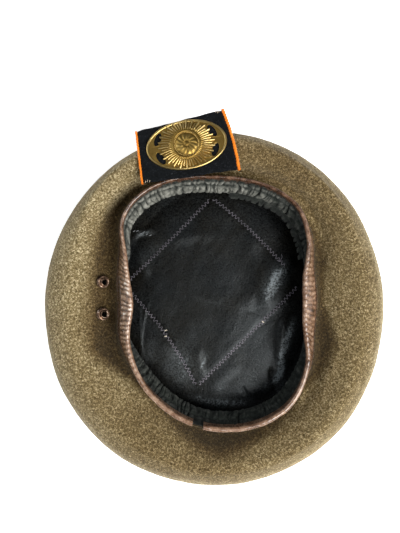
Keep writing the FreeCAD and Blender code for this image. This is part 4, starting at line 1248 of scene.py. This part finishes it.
def make_backing_tacks():
    """Three small pale stitches at each of two corners of the backing cloth."""
    material = thread_material("tack_thread", (0.26, 0.20, 0.13), (0.66, 0.54, 0.40))
    reach = np.linspace(-0.7, 0.7, 7)
    paths = []
    for corner, way in ((BACKING_CORNERS[0], 1), (BACKING_CORNERS[2], -1)):
        for step in range(3):
            x = corner[0] + way * 1.6 * (step + 1.25) + 0.4 * reach
            y = corner[1] + way * (1.0 + 0.5 * (step % 2)) + reach
            paths.append(on_badge(xyz(x, y, BACKING + 0.25 + 0.12 * np.cos(reach * 2))))
    piece = tubes_piece("cloth_tacks", paths, 0.22, 7)
    finish_piece(piece, material, ["backing_tack_thread"])


def ellipse(half, count, centre=(0.0, 0.0), turn=0.0):
    """Points of an ellipse with these half sizes, turned about its centre."""
    at = full_circle(count, TURN)
    x, y = half[0] * np.cos(at), half[1] * np.sin(at)
    turn = math.radians(turn)
    return np.stack([centre[0] + x * math.cos(turn) - y * math.sin(turn),
                     centre[1] + x * math.sin(turn) + y * math.cos(turn)], axis=-1)


def make_plate(material):
    """Oval plate with four openings and softened edges."""
    curve = bpy.data.curves.new("plate_outline", "CURVE")
    curve.dimensions = "2D"
    curve.fill_mode = "BOTH"
    curve.extrude = 0.20
    curve.bevel_depth = PLATE_BEVEL
    curve.bevel_resolution = 3
    loops = [ellipse(np.array(PLATE_HALF) - PLATE_BEVEL, 160)]
    for x_side in (-1, 1):
        for y_side in (-1, 1):
            centre = (x_side * OPENING_PLACE[0], y_side * OPENING_PLACE[1])
            turn = -x_side * y_side * OPENING_TURN
            loops.append(ellipse(np.array(OPENING_HALF) + PLATE_BEVEL, 56, centre, turn))
    for loop in loops:
        spline = curve.splines.new("POLY")
        spline.points.add(len(loop) - 1)
        for point, (x, y) in zip(spline.points, loop):
            point.co = (x, y, 0.0, 1.0)
        spline.use_cyclic_u = True
    holder = add_object("plate_outline", curve)
    mesh = mesh_of(holder)
    bpy.data.objects.remove(holder, do_unlink=True)
    x, y, z = np.array([vertex.co[:] for vertex in mesh.vertices]).T
    dish = 0.55 * (1 - (x / PLATE_HALF[0]) ** 2 - (y / PLATE_HALF[1]) ** 2)
    z = z + PLATE_LEVEL + 0.5 + 0.5 * np.clip(dish, 0, 1)
    for vertex, place in zip(mesh.vertices, on_badge(xyz(x, y + BADGE_OFFSET, z)) * MM):
        vertex.co = place
    mesh.update()
    mesh.name = "plate"
    finish_piece(add_object("plate", mesh), material, ["badge_plate"], 0.14)


def make_plate_rim(material):
    """The raised rim round the plate."""
    rim = ellipse((PLATE_HALF[0] - 1.0, PLATE_HALF[1] - 1.0), 200)
    out = rim / np.linalg.norm(rim, axis=1, keepdims=True)
    at = full_circle(12, TURN)
    place = rim[:, None] + out[:, None] * (0.95 * np.cos(at))[None, :, None]
    points = xyz(place[..., 0], place[..., 1] + BADGE_OFFSET,
                 PLATE_LEVEL + 1.0 + 0.62 * np.sin(at))
    ring = grid_piece("plate_rim", on_badge(points), True, True)
    finish_piece(ring, material, wear_and_painted_light=0.62)


def make_sunburst(material):
    """A round burst of fine flutes, long and short in turn, that slopes down to its tips."""
    turn = full_circle(FLUTES * 14, TURN)
    phase = turn * FLUTES / TURN
    ridge = np.abs(np.cos(math.pi * phase)) ** 0.8
    long_ray = 0.5 + 0.5 * np.cos(math.pi * np.round(phase))
    tip = (BURST_RADIUS - 2.2 + 2.1 * long_ray) * (1 - 0.12 * (1 - ridge))
    share = np.concatenate([[0.0, 0.05], np.linspace(0.1, 1.0, 22)])[:, None]
    radius = 10.0 + (tip - 10.0) * share
    fluted = smooth_step(share, 0.12, 0.45)
    height = 2.1 - 1.15 * share ** 1.2 + 1.15 * (ridge - 0.55) * fluted
    height = height + 0.35 * np.exp(-((share - 0.09) / 0.06) ** 2)
    wide = 1 + (BURST_STRETCH - 1) * share
    top = xyz(wide * radius * np.cos(turn), radius * np.sin(turn), height)
    rim = xyz(top[-1:, :, 0], top[-1:, :, 1], 0.05)
    back = xyz(10 * np.cos(turn), 10 * np.sin(turn), 0.05)[None]
    points = np.concatenate([top, rim, back]) + np.array([0, BADGE_OFFSET, BURST_LEVEL])
    piece = grid_piece("sunburst", on_badge(points), caps=("first", "last"))
    raised = 0.05 + 0.75 * ridge * fluted + 0.1 * (1 - share)
    finish_piece(piece, material, ["badge_sunburst"], raised)


def make_dome(material):
    """A plain gadrooned dome."""
    turn = full_circle(360, TURN)
    profile = [(11.0, 0.0), (11.0, 0.7), (10.7, 1.05), (10.3, 1.1), (9.8, 0.8), (9.4, 0.55),
               (8.9, 0.6), (8.4, 0.85), (7.6, 1.15), (6.6, 1.4), (5.4, 1.6), (4.0, 1.72),
               (2.9, 1.75), (2.4, 1.55), (2.1, 1.5), (1.6, 1.75), (0.8, 1.95), (0.1, 2.0)]
    radius, height = (np.array(values)[::-1, None] for values in zip(*profile))
    lobes = np.abs(np.cos(6 * turn + 0.35 * radius)) ** 0.7
    weight = smooth_step(radius, 2.4, 4.0) * (1 - smooth_step(radius, 7.6, 8.6))
    points = xyz(radius * np.cos(turn), radius * np.sin(turn) + BADGE_OFFSET,
                 height + 0.40 * (lobes - 0.6) * weight + DOME_LEVEL)
    piece = grid_piece("dome", on_badge(points), caps=("first", "last"))
    finish_piece(piece, material, ["badge_centre"], 0.02 + 0.3 * lobes * weight)


def make_beads(material):
    """A ring of small beads round the dome."""
    up = np.radians(np.linspace(-20, 89, 7))[:, None]
    turn = full_circle(10, TURN)
    bead = BEAD_RADIUS * xyz(np.cos(up) * np.cos(turn), np.cos(up) * np.sin(turn), np.sin(up))
    stacks = []
    for at in full_circle(BEADS, TURN):
        middle = np.array([BEAD_CIRCLE * math.cos(at), BEAD_CIRCLE * math.sin(at) + BADGE_OFFSET,
                           DOME_LEVEL + 0.72])
        stacks.append(on_badge(bead + middle))
    beads = ringed_piece("dome_beads", stacks)
    finish_piece(beads, material, wear_and_painted_light=0.6)


def dress_cad_nodes(brass):
    """Materials for the hidden CAD nodes that stay as they are."""
    board = board_material()
    for node, material in (("front_stiffener", board), ("backing_stiffener", board),
                           ("badge_lug_left", brass), ("badge_lug_right", brass),
                           ("badge_split_pin", brass)):
        for slot in bpy.data.objects[node].material_slots:
            slot.material = material


# ---------------------------------------------------------------- stage, light, camera


FLOOR_REACH, FLOOR_LEVEL, FLOOR_GLOW = 20000.0, -0.2, 0.75

# Square area lights: name, place and size in metres, watts, colour.
LIGHTS = [("window", (0.695, -0.543, 1.213), 1.0, 38.0, (1.0, 0.985, 0.96)),
          ("wall", (-1.0, 0.50, 1.0), 0.9, 7.0, (0.94, 0.97, 1.0))]
LIT_PLACE = (0.0, 0.0, 0.02)
SKY_COLOUR, SKY_STRENGTH = (0.92, 0.96, 1.0, 1.0), 0.09

# The camera's place in metres; its lens and the width of its sensor in mm.
CAMERA_PLACE = (-0.0125, 0.037, 0.52)
LENS, SENSOR = 41.2, 36.0


def make_stage():
    """A white ground that reaches far past the view."""
    n = Nodes("floor")
    colour = n.ramp(n.noise(60.0, 2.0), (0.3, 0.93), (0.7, 0.96))
    material = n.set(Base_Color=colour, Roughness=0.9, Emission_Color=(1.0, 1.0, 1.0),
                     Emission_Strength=FLOOR_GLOW)
    x = FLOOR_REACH * np.array([[-1.0, 1.0], [-1.0, 1.0]])
    floor = grid_piece("floor", xyz(x, -x.T, FLOOR_LEVEL), wrap_cols=False)
    floor.data.materials.append(material)


def make_light():
    """A broad window at the right towards the back, a weak wall opposite, and a weak sky."""
    for name, place, size, power, colour in LIGHTS:
        data = bpy.data.lights.new(name, "AREA")
        data.shape = "RECTANGLE"
        data.size = data.size_y = size
        data.energy = power
        data.color = colour
        lamp = add_object(name, data)
        lamp.location = place
        aim = Vector(LIT_PLACE) - Vector(place)
        lamp.rotation_euler = aim.to_track_quat("-Z", "Y").to_euler()
    world = bpy.data.worlds.new("studio")
    world.use_nodes = True
    background = world.node_tree.nodes["Background"]
    background.inputs["Color"].default_value = SKY_COLOUR
    background.inputs["Strength"].default_value = SKY_STRENGTH
    bpy.context.scene.world = world


def make_camera():
    """Straight above the table, with the view that a phone held over it has."""
    data = bpy.data.cameras.new("camera")
    data.sensor_fit = "AUTO"
    data.sensor_width = SENSOR
    data.lens = LENS
    data.clip_start = 0.01
    data.clip_end = 20.0
    camera = add_object("camera", data)
    camera.location = CAMERA_PLACE
    bpy.context.scene.camera = camera


make_stage()
make_light()
make_camera()
bpy.context.scene.view_settings.view_transform = "Standard"

make_felt()
make_leather()
make_binding_thread()
facing_cloth = make_facing()
make_frill(facing_cloth)
lining_cloth = lining_material("lining")
make_lining_crown(lining_cloth)
make_lining_side(lining_cloth)
make_patch()
make_zigzag()
make_tacks()
make_eyelets()
make_backing()
make_piping()
make_backing_tacks()
badge_brass = brass_material()
make_plate(badge_brass)
make_plate_rim(badge_brass)
make_sunburst(badge_brass)
make_dome(badge_brass)
make_beads(badge_brass)
dress_cad_nodes(badge_brass)
